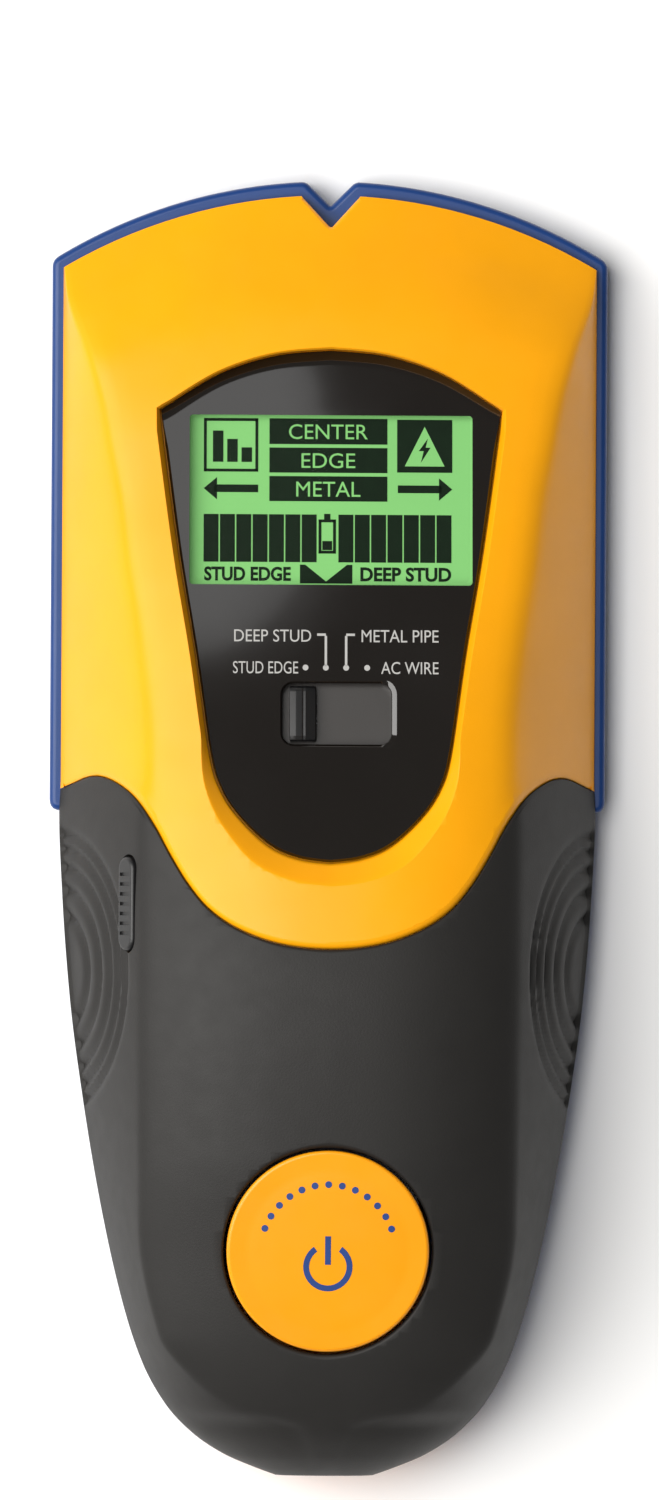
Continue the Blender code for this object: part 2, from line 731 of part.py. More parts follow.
def side_key(materials):
    key = key_tool("side_power_button", 0.0, -5.6, 1.1, materials["black"])
    join(key, key_tool("key_flange", 1.5, -6.6, -5.3))
    plunger = prism("side_switch_plunger", circle(0, 0, 1.6, 14), -8.2, -6.9, materials["white"])
    switch = prism("side_switch", rounded((-3, -3), (3, 3), 0.4, steps=1), -12.1, -8.5, materials["black"])
    board_outline = rounded((-4.2, -9), (4.2, 9), 0.5, steps=1)
    board = prism("side_switch_board", board_outline, -13.6, -12.4, materials["pcb"])
    for piece in (plunger, switch, board):
        piece.matrix_world = key_matrix()
    cut(switch, key_switch_well())
    return key, plunger


def key_switch_well():
    well = prism("plunger_well", circle(0, 0, 1.95, 14), -9.6, -5.0)
    well.matrix_world = key_matrix()
    return well


# ---------------------------------------------------------------- battery


def battery_base(y):
    return door_line(y) + DOOR_THICKNESS + GAP + PAD_THICKNESS + GAP


def battery_parts(materials):
    width, length, height = BATTERY_SIZE
    rear = BATTERY_CENTRE_Y - length / 2
    front = BATTERY_CENTRE_Y + length / 2
    outline = rounded((-width / 2, rear), (width / 2, front), 1.8, steps=2)
    prism("battery", outline, battery_base, lambda y: battery_base(y) + height, materials["battery"])
    middle = battery_base(front) + height / 2
    for name, x, radius, sides in (
        ("battery_terminal_positive", -6.35, 2.9, 16), ("battery_terminal_negative", 6.35, 3.9, 6),
    ):
        terminal = prism(name, circle(0, 0, radius, sides), 0.0, 2.1, materials["steel"])
        terminal.matrix_world = facing_front(x, front + GAP, middle)
    snap = prism(
        "battery_snap_connector", rounded((-12.3, -5.6), (12.3, 5.6), 2.0, steps=2), 0.0, 3.2, materials["black"]
    )
    snap.matrix_world = facing_front(0, front + 0.9, middle)
    for x, radius in ((-6.35, 3.3), (6.35, 4.3)):
        well = prism(f"snap_well_{x:.0f}", circle(0, 0, radius, 16), -1.0, 1.9)
        well.matrix_world = facing_front(x, front + 0.9, middle)
        cut(snap, well)
    lead("battery_lead_red", -4.0, front, middle, materials["red"])
    lead("battery_lead_black", 4.0, front, middle, materials["black"])


def facing_front(x, y, z):
    """A place whose local +Z points forwards, along +Y."""
    return Matrix.Translation(Vector((x, y, z)) * MM) @ Matrix.Rotation(-math.pi / 2, 4, "X")


def lead(name, x, front, middle, material):
    """A battery lead from the snap connector up to the main board."""
    board = deck_z(5.0) - 9.0
    route = [
        (x, front + 4.5, middle + 2.0), (x, front + 7.5, middle + 2.1), (x * 1.2, front + 11.5, middle + 2.6),
        (x * 1.3, front + 16.5, middle + 3.6), (x * 1.3, 3.6, middle + 6.0), (x * 1.2, 4.6, board - 2.6),
        (x * 1.2, 4.9, board - 0.6),
    ]
    curve = bpy.data.curves.new(name, "CURVE")
    curve.dimensions = "3D"
    curve.bevel_depth = 0.7 * MM
    curve.bevel_resolution = 2
    curve.use_fill_caps = True
    spline = curve.splines.new("POLY")
    points = smooth_route(route, 4)
    spline.points.add(len(points) - 1)
    for point, place in zip(spline.points, points):
        point.co = (*(c * MM for c in place), 1.0)
    made = bpy.data.objects.new(name, curve)
    bpy.context.collection.objects.link(made)
    curve.materials.append(material)
    return made


def smooth_route(route, steps):
    """Points on a smooth curve through the route's own points (Catmull-Rom)."""
    points = []
    for i in range(len(route) - 1):
        a, b, c, d = (Vector(route[min(max(k, 0), len(route) - 1)]) for k in (i - 1, i, i + 1, i + 2))
        for j in range(steps):
            t = j / steps
            points.append(
                0.5 * (2 * b + (c - a) * t + (2 * a - 5 * b + 4 * c - d) * t * t + (3 * b - a - 3 * c + d) * t**3)
            )
    points.append(Vector(route[-1]))
    return points


def battery_door(materials):
    """Sliding door under the handle, with flanges in the rails and a lip that closes the tail."""
    rings = []
    for station in (DOOR_FRONT_Y - 0.35, -74, -80, -84, -87, -90, -92, TAIL_Y):
        low = door_line(station)
        flat = min(DOOR_HALF_WIDTH, belly_half_width(station))
        rise = min(1.0, DOOR_THICKNESS / (parting_z(station) - GAP - low))
        full = flat + (half_width(station) - flat) * math.sqrt(1 - (1 - rise) ** 2)
        wide = min(DOOR_HALF_WIDTH, full)
        high = low + DOOR_THICKNESS
        rings.append([(x, station, z) for x, z in ((-flat, low), (flat, low), (wide, high), (-wide, high))])
    door = loft("battery_door", rings, materials["door"])
    rear = RAIL_REAR_Y - 0.6
    flange = (DOOR_THICKNESS - 0.85, DOOR_THICKNESS - 0.02)
    join(door, door_tool("door_flange", (-DOOR_FLANGE, DOOR_FLANGE), flange, (rear, DOOR_FRONT_Y - 0.4)))
    lip = rounded((-DOOR_LIP, TAIL_Y + 0.02), (DOOR_LIP, TAIL_Y + 1.6), 0.5, steps=1)
    join(door, prism("door_lip", lip, 8.4, 11.15))
    heights = (DOOR_THICKNESS + GAP, DOOR_THICKNESS + GAP + PAD_THICKNESS)
    pad = door_tool("battery_door_pad", (-7.2, 7.2), heights, (-60.0, -28.0), materials["foam"])
    return door, pad


# ---------------------------------------------------------------- fasteners and label


def screws(material):
    for i, (x, y) in enumerate(SCREW_PLACES):
        seat = screw_seat(i)
        head = cylinder(f"housing_screw_{i + 1}", (x, y), 2.7, seat, seat + 1.8, material, sides=16)
        join(head, cylinder(f"screw_shank_{i}", (x, y), 1.3, seat + 1.0, screw_tip(i), sides=10))
        cut(head, box(f"cross_a_{i}", (x, y, seat), (3.2, 0.7, 1.6)))
        cut(head, box(f"cross_b_{i}", (x, y, seat), (0.7, 3.2, 1.6)))


def rating_label(material):
    box("rating_label", (0, 44, 0.2), (34.0, 18.0, 0.16), material)


def all_materials():
    return {
        "yellow": plastic("yellow_plastic", (0.90, 0.42, 0.02), 0.32),
        "button": plastic("button_yellow", (0.90, 0.38, 0.02), 0.34),
        "door": plastic("door_yellow", (0.85, 0.38, 0.02), 0.36),
        "blue": plastic("blue_plastic", (0.02, 0.07, 0.32), 0.35),
        "grip": plastic("grip_rubber", (0.035, 0.033, 0.031), 0.62),
        "black_gloss": plastic("faceplate_gloss", (0.010, 0.009, 0.009), 0.12),
        "black": plastic("black_plastic", (0.015, 0.015, 0.016), 0.45),
        "slider": plastic("slider_plastic", (0.05, 0.05, 0.05), 0.4),
        "clear": plastic("clear_window", (0.9, 0.95, 0.9), 0.05, alpha=0.3),
        "lcd": plastic("lcd_green", (0.25, 0.62, 0.20), 0.25),
        "light_guide": plastic("light_guide", (0.8, 0.85, 0.8), 0.3),
        "rubber": plastic("dark_rubber", (0.03, 0.03, 0.03), 0.8),
        "white": plastic("white_plastic", (0.75, 0.75, 0.72), 0.45),
        "pcb": plastic("circuit_board", (0.02, 0.16, 0.05), 0.4),
        "copper": plastic("copper", (0.75, 0.35, 0.18), 0.3, metallic=1.0),
        "steel": plastic("steel", (0.6, 0.6, 0.62), 0.3, metallic=1.0),
        "ribbon": plastic("ribbon_cable", (0.5, 0.5, 0.52), 0.5),
        "battery": plastic("battery_wrap", (0.10, 0.10, 0.11), 0.35, metallic=0.3),
        "foam": plastic("foam_pad", (0.06, 0.06, 0.06), 0.9),
        "red": plastic("red_insulation", (0.5, 0.02, 0.02), 0.45),
        "label": plastic("label_paper", (0.55, 0.56, 0.58), 0.6),
    }


def main():
    clear_scene()
    materials = all_materials()
    front_housing(materials["yellow"])
    base_housing(materials["blue"])
    grip_overmold(materials["grip"])
    display_parts(materials)
    slider_parts(materials)
    main_board(materials)
    sensor_parts(materials)
    round_button(materials)
    side_key(materials)
    battery_parts(materials)
    battery_door(materials)
    screws(materials["steel"])
    rating_label(materials["label"])
    for made in bpy.data.objects:
        if made.type == "MESH" and not made.hide_render:
            smooth_on(made)


main()
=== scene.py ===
"""Looks of a hand-held stud finder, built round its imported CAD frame.

Shapes are worked out in millimetres in the CAD's own frame: +Y to the aiming notch, +Z out of the display
side, sensing face on z = 0.
"""

import json
import math

import bmesh
import bpy
from mathutils import Matrix, Vector
from mathutils.bvhtree import BVHTree


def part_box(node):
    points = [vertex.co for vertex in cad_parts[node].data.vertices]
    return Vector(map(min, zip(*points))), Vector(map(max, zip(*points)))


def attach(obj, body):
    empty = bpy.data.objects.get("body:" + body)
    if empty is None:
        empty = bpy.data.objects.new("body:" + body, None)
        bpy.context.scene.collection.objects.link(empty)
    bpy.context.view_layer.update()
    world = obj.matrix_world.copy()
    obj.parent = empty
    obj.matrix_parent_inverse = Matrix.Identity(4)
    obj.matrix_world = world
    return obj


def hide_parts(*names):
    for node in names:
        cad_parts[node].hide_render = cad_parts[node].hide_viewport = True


MM = 0.001
FONT_CURVE_STEPS = 4
FINE_PRINT = 0.03

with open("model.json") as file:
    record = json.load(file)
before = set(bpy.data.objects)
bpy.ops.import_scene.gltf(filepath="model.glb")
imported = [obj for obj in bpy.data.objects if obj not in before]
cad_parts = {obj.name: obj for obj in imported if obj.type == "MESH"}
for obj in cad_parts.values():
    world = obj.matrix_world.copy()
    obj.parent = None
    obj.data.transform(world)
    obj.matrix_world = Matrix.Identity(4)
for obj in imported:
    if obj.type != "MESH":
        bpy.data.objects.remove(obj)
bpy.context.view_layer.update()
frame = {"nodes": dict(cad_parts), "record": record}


def node_box(name):
    """A CAD node's lowest and highest corners in millimetres."""
    low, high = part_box(name)
    return low / MM, high / MM


# ---------------------------------------------------------------- sizes

BASE_HIGH = node_box("base_housing")[1]
HEAD_HALF_WIDTH = BASE_HIGH.x
TAIL_Y = node_box("grip_overmold")[0].y
HEAD_END_Y = 2.3
FRONT_APEX_Y = BASE_HIGH.y + 0.13
FRONT_RADIUS = 75.0
NOTCH_SLOPE = 1.0
HOUSING_NOTCH_SLOPE = 0.9
NOTCH_TIP_Y = 89.5
HOUSING_NOTCH_TIP_Y = 86.2
FRONT_STATION = 91.02

GAP = 0.3
SEAM = 0.12
LEDGE = 0.3
TRAY_TOP_Z = 6.7
TRAY_FLOOR = 2.0
TRAY_WALL = 3.8
SHELL = 2.2
GRIP_LAYER = 1.5

DECK_SLOPE = 0.235
DECK_Y = 32.2
DECK_Z = 26.1
FACEPLATE_THICKNESS = 1.5
LCD_HALF_WIDTH = 20.25
LCD_Y = (34.8, 59.15)
SLIDER_WINDOW_X = (-6.9, 8.7)
SLIDER_WINDOW_Y = (12.0, 20.7)
SLIDER_TRAVEL = 8.7

BUTTON_Y = -60.25
BUTTON_Z = 32.72
BUTTON_SLOPE = 0.263
BUTTON_RADIUS = 14.45

KEY_CENTRE = (-28.6, -10.9, 28.0)
KEY_ANGLE = math.radians(32.0)
KEY_HALF_SIZE = (1.9, 6.7)

DOOR_SLOPE = 0.1
DOOR_FRONT_Y = -17.0
DOOR_HALF_WIDTH = 14.3
DOOR_FLANGE = 15.5
DOOR_THICKNESS = 2.0
DOOR_LIP = 7.6
RAIL_REAR_Y = -73.0

FINGER_REST = (38.8, -21.0)
FINGER_REST_SIZE = (9.6, 20.0)
FINGER_RINGS = (0.42, 0.6, 0.76, 0.89, 1.0)

CROWN_HEIGHT = 0.5
CROWN_RADIUS = BUTTON_RADIUS - 1.3

SCREW_PLACES = ((-33.0, 66.0), (33.0, 66.0), (-30.5, -3.0), (30.5, -3.0), (-20.8, -71.0), (20.8, -71.0))


# ---------------------------------------------------------------- curves


def through(*points):
    """A function that passes through the points without overshooting (monotone cubic)."""
    knots = sorted(points)
    slopes = [(b[1] - a[1]) / (b[0] - a[0]) for a, b in zip(knots, knots[1:])]
    tangents = [slopes[0]]
    for before, after in zip(slopes, slopes[1:]):
        steady = before * after > 0
        tangents.append(2 * before * after / (before + after) if steady else 0.0)
    tangents.append(slopes[-1])

    def value(t):
        t = min(max(t, knots[0][0]), knots[-1][0])
        i = max(k for k in range(len(knots) - 1) if knots[k][0] <= t)
        width = knots[i + 1][0] - knots[i][0]
        u = (t - knots[i][0]) / width
        start = (1 + 2 * u) * (1 - u) ** 2 * knots[i][1]
        start_slope = u * (1 - u) ** 2 * width * tangents[i]
        end = u * u * (3 - 2 * u) * knots[i + 1][1]
        end_slope = u * u * (u - 1) * width * tangents[i + 1]
        return start + start_slope + end + end_slope

    return value


def front_drop(x, radius=FRONT_RADIUS):
    return radius - math.sqrt(radius * radius - x * x)


def deck_z(y):
    return DECK_Z - DECK_SLOPE * (y - DECK_Y)


def button_z(y):
    return BUTTON_Z + BUTTON_SLOPE * (y - BUTTON_Y)


def door_line(y):
    return DOOR_SLOPE * (DOOR_FRONT_Y - y)


# Body sections, each as a function of the station along the length
half_width = through(
    (-93, 7.0), (-92, 9.8), (-90, 14.5), (-87, 19.0), (-83, 22.8), (-77, 26.2), (-68, 29.2),
    (-54, 32.4), (-39, 35.0), (-25, 36.9), (-10, 38.1), (2, 38.6), (8, 38.4), (92, 38.4),
)
crest_z = through(
    (-93, 14.6), (-92, 17.0), (-90, 20.0), (-86, 23.6), (-76, 28.4), (-61, 32.7), (-46, 36.3),
    (-28, 38.0), (-15, 37.7), (0, 36.0), (14, 33.2), (30, 29.6), (44, 26.3), (54, 23.8),
    (62.5, 21.7), (69, 19.8), (75, 17.7), (87.3, 10.4), (91.4, 8.0),
)
crease_x = through(
    (-93, 1.5), (-90, 2.5), (-86, 4.5), (-83.3, 12.1), (-78.7, 18.7), (-72.6, 23.6), (-57, 26.6),
    (-3, 26.6), (14, 26.0), (30, 27.2), (44, 29.0), (54, 30.0), (62.5, 31.5), (70.4, 33.0),
    (77.7, 35.0), (87.3, 37.9), (91.4, 38.3),
)
crease_drop = through(
    (-93, 0.1), (-86, 0.6), (-79, 2.6), (-73, 4.0), (-57, 5.5), (-28, 5.8), (-5, 5.2), (14, 3.9),
    (30, 2.8), (44, 2.2), (62.5, 1.5), (75, 1.0), (91.4, 0.05),
)
parting_z = through((-93, 11.5), (-80, 11.2), (-60, 10.4), (-40, 9.4), (-20, 8.0), (2, 7.0), (92, 7.0))
belly_half_width = through(
    (-93, 4.6), (-92, 7.0), (-90, 11.5), (-87, 15.6), (-80, 20.4), (-60, 25.5), (-25, 31.0), (8, 33.5),
)
flank_roundness = through((-93, 0.95), (-86, 0.8), (-78, 0.4), (-66, 0.22), (-40, 0.18), (92, 0.15))
arc_share = through((-5, 0.0), (5, 0.05), (28, 0.5), (50, 0.95), (60, 1.0), (92, 1.0))


def belly_z(y):
    return DOOR_SLOPE * max(0.0, DOOR_FRONT_Y - y)


def stations(low, high, step=1.7, end_step=0.35):
    """Stations from low to high, closer together towards the tail's tip."""
    found = [low]
    while found[-1] < high - 0.3:
        reach = end_step + (step - end_step) * min(1.0, (found[-1] - TAIL_Y) / 14.0)
        found.append(found[-1] + reach)
    found[-1] = high
    return found


TOP_STEPS = 16
SIDE_STEPS = 12
CREASE_PASSES = 2


def mirrored(half):
    left = [(-x, z) for x, z in reversed(half) if x > 1e-6]
    return half + left


def upper_half(station, inset, floor, side_steps=SIDE_STEPS):
    """Right half of the top shell's section, with its crease rounded."""
    crease = max(crease_x(station) - 0.45 * inset, 0.8)
    crest = crest_z(station) - inset
    shoulder = crest - crease_drop(station)
    edge = half_width(station) - inset
    foot = parting_z(station)
    crease = min(crease, edge - 0.05)
    shoulder = max(shoulder, floor + 0.2)
    crest = max(crest, floor + 0.25)
    roundness = flank_roundness(station)
    half = []
    for i in range(TOP_STEPS + 1):
        share = i / TOP_STEPS
        half.append((crease * share, crest - (crest - shoulder) * share**2.8))
    for i in range(1, side_steps + 1):
        share = i / side_steps
        turn = math.pi / 2 * share
        out = share + roundness * (math.sin(turn) - share)
        down = share + roundness * (1 - math.cos(turn) - share)
        height = shoulder + (foot - shoulder) * down
        half.append((crease + (edge - crease) * out, max(height, floor + 0.1)))
    for _ in range(CREASE_PASSES * side_steps // SIDE_STEPS):
        calm = list(half)
        for i in range(1, len(half) - 1):
            calm[i] = tuple((half[i - 1][k] + 2 * half[i][k] + half[i + 1][k]) / 4 for k in (0, 1))
        half = calm
    return half + [(edge, floor), (0.0, floor)]


def lower_half(station, inset, ceiling):
    edge = half_width(station) - inset - LEDGE
    top = parting_z(station) - GAP
    bottom = belly_z(station) + inset
    flat = belly_half_width(station) - inset
    half = [(0.0, ceiling), (edge, ceiling), (edge, top - 0.05)]
    steps = 10
    for i in range(1, steps):
        turn = math.pi / 2 * i / steps
        half.append((flat + (edge - flat) * math.cos(turn), top - (top - bottom) * math.sin(turn)))
    half += [(flat, bottom), (flat * 0.5, bottom), (0.0, bottom)]
    return half


def sheared(ring, station):
    share = arc_share(station)
    return [(x, station - share * front_drop(x), z) for x, z in ring]


# ---------------------------------------------------------------- mesh tools


def mesh_object(name, vertices, faces, material=None):
    mesh = bpy.data.meshes.new(name)
    mesh.from_pydata([[c * MM for c in v] for v in vertices], [], faces)
    work = bmesh.new()
    work.from_mesh(mesh)
    bmesh.ops.recalc_face_normals(work, faces=work.faces)
    work.to_mesh(mesh)
    work.free()
    made = bpy.data.objects.new(name, mesh)
    bpy.context.collection.objects.link(made)
    if material:
        mesh.materials.append(material)
    return made


def loft(name, rings, material=None):
    """Joins closed rings of equal length and caps both ends."""
    count = len(rings[0])
    vertices = [point for ring in rings for point in ring]
    faces = [tuple(range(count))]
    for r in range(len(rings) - 1):
        for i in range(count):
            j = (i + 1) % count
            faces.append((r * count + i, r * count + j, (r + 1) * count + j, (r + 1) * count + i))
    faces.append(tuple(range((len(rings) - 1) * count, len(rings) * count)))
    return mesh_object(name, vertices, faces, material)


def level(value):
    return value if callable(value) else lambda y: value


def prism(name, outline, bottom, top, material=None):
    low, high = level(bottom), level(top)
    return loft(name, [[(x, y, low(y)) for x, y in outline], [(x, y, high(y)) for x, y in outline]], material)


def soft_prism(name, outline, bottom, top, radius, material=None, steps=3, foot=0.0):
    """A prism whose top edge is rounded by radius, and its bottom edge by foot."""
    low, high = level(bottom), level(top)
    rings = []
    if foot:
        for i in range(steps):
            turn = math.pi / 2 * i / steps
            inset = foot * (1 - math.sin(turn))
            ring = offset(outline, -inset) if inset > 1e-6 else outline
            rings.append([(x, y, low(y) + foot * (1 - math.cos(turn))) for x, y in ring])
        rings.append([(x, y, low(y) + foot) for x, y in outline])
    else:
        rings.append([(x, y, low(y)) for x, y in outline])
    for i in range(steps + 1):
        turn = math.pi / 2 * i / steps
        inset = radius * (1 - math.cos(turn))
        ring = offset(outline, -inset) if inset > 1e-6 else outline
        rings.append([(x, y, high(y) - radius * (1 - math.sin(turn))) for x, y in ring])
    return loft(name, rings, material)


def circle(x, y, radius, sides):
    turns = [2 * math.pi * i / sides for i in range(sides)]
    return [(x + radius * math.cos(t), y + radius * math.sin(t)) for t in turns]


def rounded(low, high, radius, steps=6):
    """A rectangle's outline with round corners, counter-clockwise."""
    outline = []
    corners = (
        (high[0] - radius, high[1] - radius, 0), (low[0] + radius, high[1] - radius, 1),
        (low[0] + radius, low[1] + radius, 2), (high[0] - radius, low[1] + radius, 3),
    )
    for x, y, quarter in corners:
        for i in range(steps + 1):
            turn = math.pi / 2 * (quarter + i / steps)
            outline.append((x + radius * math.cos(turn), y + radius * math.sin(turn)))
    return outline


def offset(outline, distance):
    """The closed counter-clockwise outline moved outwards by distance."""
    moved = []
    count = len(outline)
    for i in range(count):
        before, here, after = (Vector(outline[k % count]) for k in (i - 1, i, i + 1))
        first, second = (here - before).normalized(), (after - here).normalized()
        normals = [Vector((d.y, -d.x)) for d in (first, second)]
        joint = (normals[0] + normals[1]).normalized()
        reach = distance / max(joint.dot(normals[0]), 0.4)
        moved.append(tuple(here + joint * reach))
    return moved


def resampled(points, spacing, closed=True):
    """Evenly spaced points on a smooth curve through the given ones (Catmull-Rom)."""
    count = len(points)
    dense = []
    last = count if closed else count - 1
    for i in range(last):
        ids = [(i + k) % count if closed else min(max(i + k, 0), count - 1) for k in (-1, 0, 1, 2)]
        a, b, c, d = (Vector(points[k]) for k in ids)
        for j in range(12):
            t = j / 12
            bend, twist = 2 * a - 5 * b + 4 * c - d, 3 * b - a - 3 * c + d
            dense.append(0.5 * (2 * b + (c - a) * t + bend * t * t + twist * t**3))
    if not closed:
        dense.append(Vector(points[-1]))
    loop = dense + [dense[0]] if closed else dense
    lengths = [0.0]
    for a, b in zip(loop, loop[1:]):
        lengths.append(lengths[-1] + (b - a).length)
    pieces = max(3, round(lengths[-1] / spacing))
    found = []
    k = 0
    for i in range(pieces if closed else pieces + 1):
        target = lengths[-1] * i / pieces
        while k < len(lengths) - 2 and lengths[k + 1] < target:
            k += 1
        share = (target - lengths[k]) / max(lengths[k + 1] - lengths[k], 1e-9)
        found.append(tuple(loop[k].lerp(loop[k + 1], min(share, 1.0))))
    return found


def with_round_corners(points, radii, steps=5):
    """A closed polygon with each corner replaced by an arc-like curve of its own radius."""
    outline = []
    count = len(points)
    for i, radius in enumerate(radii):
        before, here, after = (Vector(points[k % count]) for k in (i - 1, i, i + 1))
        if radius <= 0:
            outline.append(tuple(here))
            continue
        start = here + (before - here).normalized() * radius
        end = here + (after - here).normalized() * radius
        for j in range(steps + 1):
            t = j / steps
            outline.append(tuple(start * (1 - t) ** 2 + here * 2 * t * (1 - t) + end * t * t))
    return outline


def boolean(target, tool, operation):
    step = target.modifiers.new(operation.lower(), "BOOLEAN")
    step.operation = operation
    step.solver = "EXACT"
    step.object = tool
    return target


def applied(target, *tools):
    """Bakes the modifiers into the mesh and removes the cutters."""
    graph = bpy.context.evaluated_depsgraph_get()
    mesh = bpy.data.meshes.new_from_object(target.evaluated_get(graph))
    target.modifiers.clear()
    target.data = mesh
    for tool in tools:
        bpy.data.objects.remove(tool, do_unlink=True)
    return target


def cut(target, *tools):
    for tool in tools:
        boolean(target, tool, "DIFFERENCE")
    return applied(target, *tools)


def join(target, *tools):
    for tool in tools:
        boolean(target, tool, "UNION")
    return applied(target, *tools)


def finish_piece(piece, body, slot, *nodes, angle=32, weighted=True):
    piece.data.shade_smooth()
    piece.data.set_sharp_from_angle(angle=math.radians(angle))
    if weighted:
        normals = piece.modifiers.new("weighted", "WEIGHTED_NORMAL")
        normals.keep_sharp = True
        normals.weight = 60
    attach(piece, body)
    if nodes:
        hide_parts(*nodes)
    return piece


# ---------------------------------------------------------------- outlines


def notched_head(inset=0.0):
    """Blue base seen from above, with the aiming notch in its front arc."""
    side = HEAD_HALF_WIDTH
    mouth = NOTCH_SLOPE * (FRONT_APEX_Y - NOTCH_TIP_Y) * 0.985
    steps = 26
    arc = []
    for i in range(steps + 1):
        x = side + (mouth - side) * i / steps
        arc.append((x, FRONT_APEX_Y - front_drop(x)))
    right = [(side, HEAD_END_Y)] + arc
    left = [(-x, y) for x, y in reversed(right)]
    points = right + [(0.0, NOTCH_TIP_Y)] + left
    radii = [1.6, 1.0] + [0.0] * (steps - 1) + [0.7, 0.35, 0.7] + [0.0] * (steps - 1) + [1.0, 1.6]
    outline = with_round_corners(points, radii)
    return offset(outline, -inset) if inset else outline


def plain_head(inset):
    side = HEAD_HALF_WIDTH - inset
    rear = HEAD_END_Y + inset
    outline = [(-side, rear + 1.2), (-side + 1.2, rear), (side - 1.2, rear), (side, rear + 1.2)]
    steps = 24
    for i in range(steps + 1):
        x = side - 2 * side * i / steps
        outline.append((x, FRONT_APEX_Y - inset - front_drop(x, FRONT_RADIUS - inset)))
    return outline


def notch_outline(tip_y, depth=12.0):
    half = NOTCH_SLOPE * depth
    return [(0.0, tip_y), (half, tip_y + depth), (-half, tip_y + depth)]


def faceplate_outline():
    """A domed top between two crisp corners, long sides drawing in, and a round foot; counter-clockwise."""
    corner = (24.35, 59.8)
    dome = resampled(
        [(corner[0] - 0.7, corner[1] + 0.5), (16.0, 65.0), (8.0, 67.65), (0.0, 68.45)], 1.0, closed=False,
    )
    side = resampled(
        [(0.0, -4.8), (4.4, -4.2), (8.6, -2.4), (12.9, 1.6), (15.5, 5.5), (17.1, 10.7), (19.2, 25.0),
         (21.7, 40.0), (corner[0] - 0.1, corner[1] - 0.9)], 1.0, closed=False,
    )
    right = side + [corner] + dome
    left = [(-x, y) for x, y in reversed(right) if x > 1e-6]
    return right + left


def grip_line():
    right = [
        (0.0, -17.1), (7.0, -16.4), (12.8, -14.4), (17.1, -11.6), (20.2, -8.0), (22.8, -3.8),
        (25.2, 0.6), (28.0, 4.5), (31.2, 6.8), (34.0, 7.3), (37.4, 5.9), (46.0, 2.0),
    ]
    line = [(-x, y) for x, y in reversed(right) if x > 0] + right
    return resampled(line, 1.0, closed=False)


def grip_zone_outline(shift=0.0):
    """The grip's side of the line, closed far behind the tail, counter-clockwise."""
    outline = grip_line() + [(46.0, -110.0), (-46.0, -110.0)]
    outline.reverse()
    return offset(outline, -shift) if shift else outline


# ---------------------------------------------------------------- body surface


def body_tool(name, inset, floor_offset=0.0, step=1.7, side_steps=SIDE_STEPS):
    rings = []
    for station in stations(TAIL_Y, FRONT_STATION, step):
        floor = parting_z(station) + floor_offset
        rings.append(sheared(mirrored(upper_half(station, inset, floor, side_steps)), station))
    return loft(name, rings)


def surface_of(made):
    """Height of a form's top side at a place, or of its nearest point where there is nothing below."""
    mesh = made.data
    corners = [vertex.co / MM for vertex in mesh.vertices]
    tree = BVHTree.FromPolygons(corners, [tuple(polygon.vertices) for polygon in mesh.polygons])

    def height(x, y):
        hit = tree.ray_cast(Vector((x, y, 90.0)), Vector((0, 0, -1)))[0]
        return hit.z if hit else tree.find_nearest(Vector((x, y, 12.0)))[0].z

    return height


ROUND_EDGE = tuple((1 - math.cos(t), math.sin(t) - 1) for t in (math.pi / 2 * i / 5 for i in range(6)))
CHAMFER = ((0.0, -1.0), (0.04, -0.86), (0.14, -0.7), (0.8, -0.13), (0.93, -0.04), (1.0, 0.0))


def router(name, outline, bottom, width, height, drop=None, profile=ROUND_EDGE):
    """A cutter with straight walls and a flared rim that follows the surface, its size set by place."""
    low, wide = level(bottom), width if callable(width) else lambda x, y: width
    away = [(x - px, y - py) for (x, y), (px, py) in zip(offset(outline, 1.0), outline)]

    def spread(share):
        reach = [wide(x, y) * share for x, y in outline]
        return [(x + dx * r, y + dy * r) for (x, y), (dx, dy), r in zip(outline, away, reach)]

    rings = [[(x, y, low(y)) for x, y in outline]]
    depth = drop if callable(drop) else lambda x, y: drop if drop else wide(x, y)
    deep = [depth(x, y) for x, y in outline]
    for out, down in profile:
        rings.append([(x, y, height(x, y) + down * d) for (x, y), d in zip(spread(out), deep)])
    outer = spread(1.2)
    rings.append([(x, y, height(x, y) + 0.07 * d) for (x, y), d in zip(outer, deep)])
    rings.append([(x, y, 70.0) for x, y in outer])
    return loft(name, rings)


# ---------------------------------------------------------------- materials


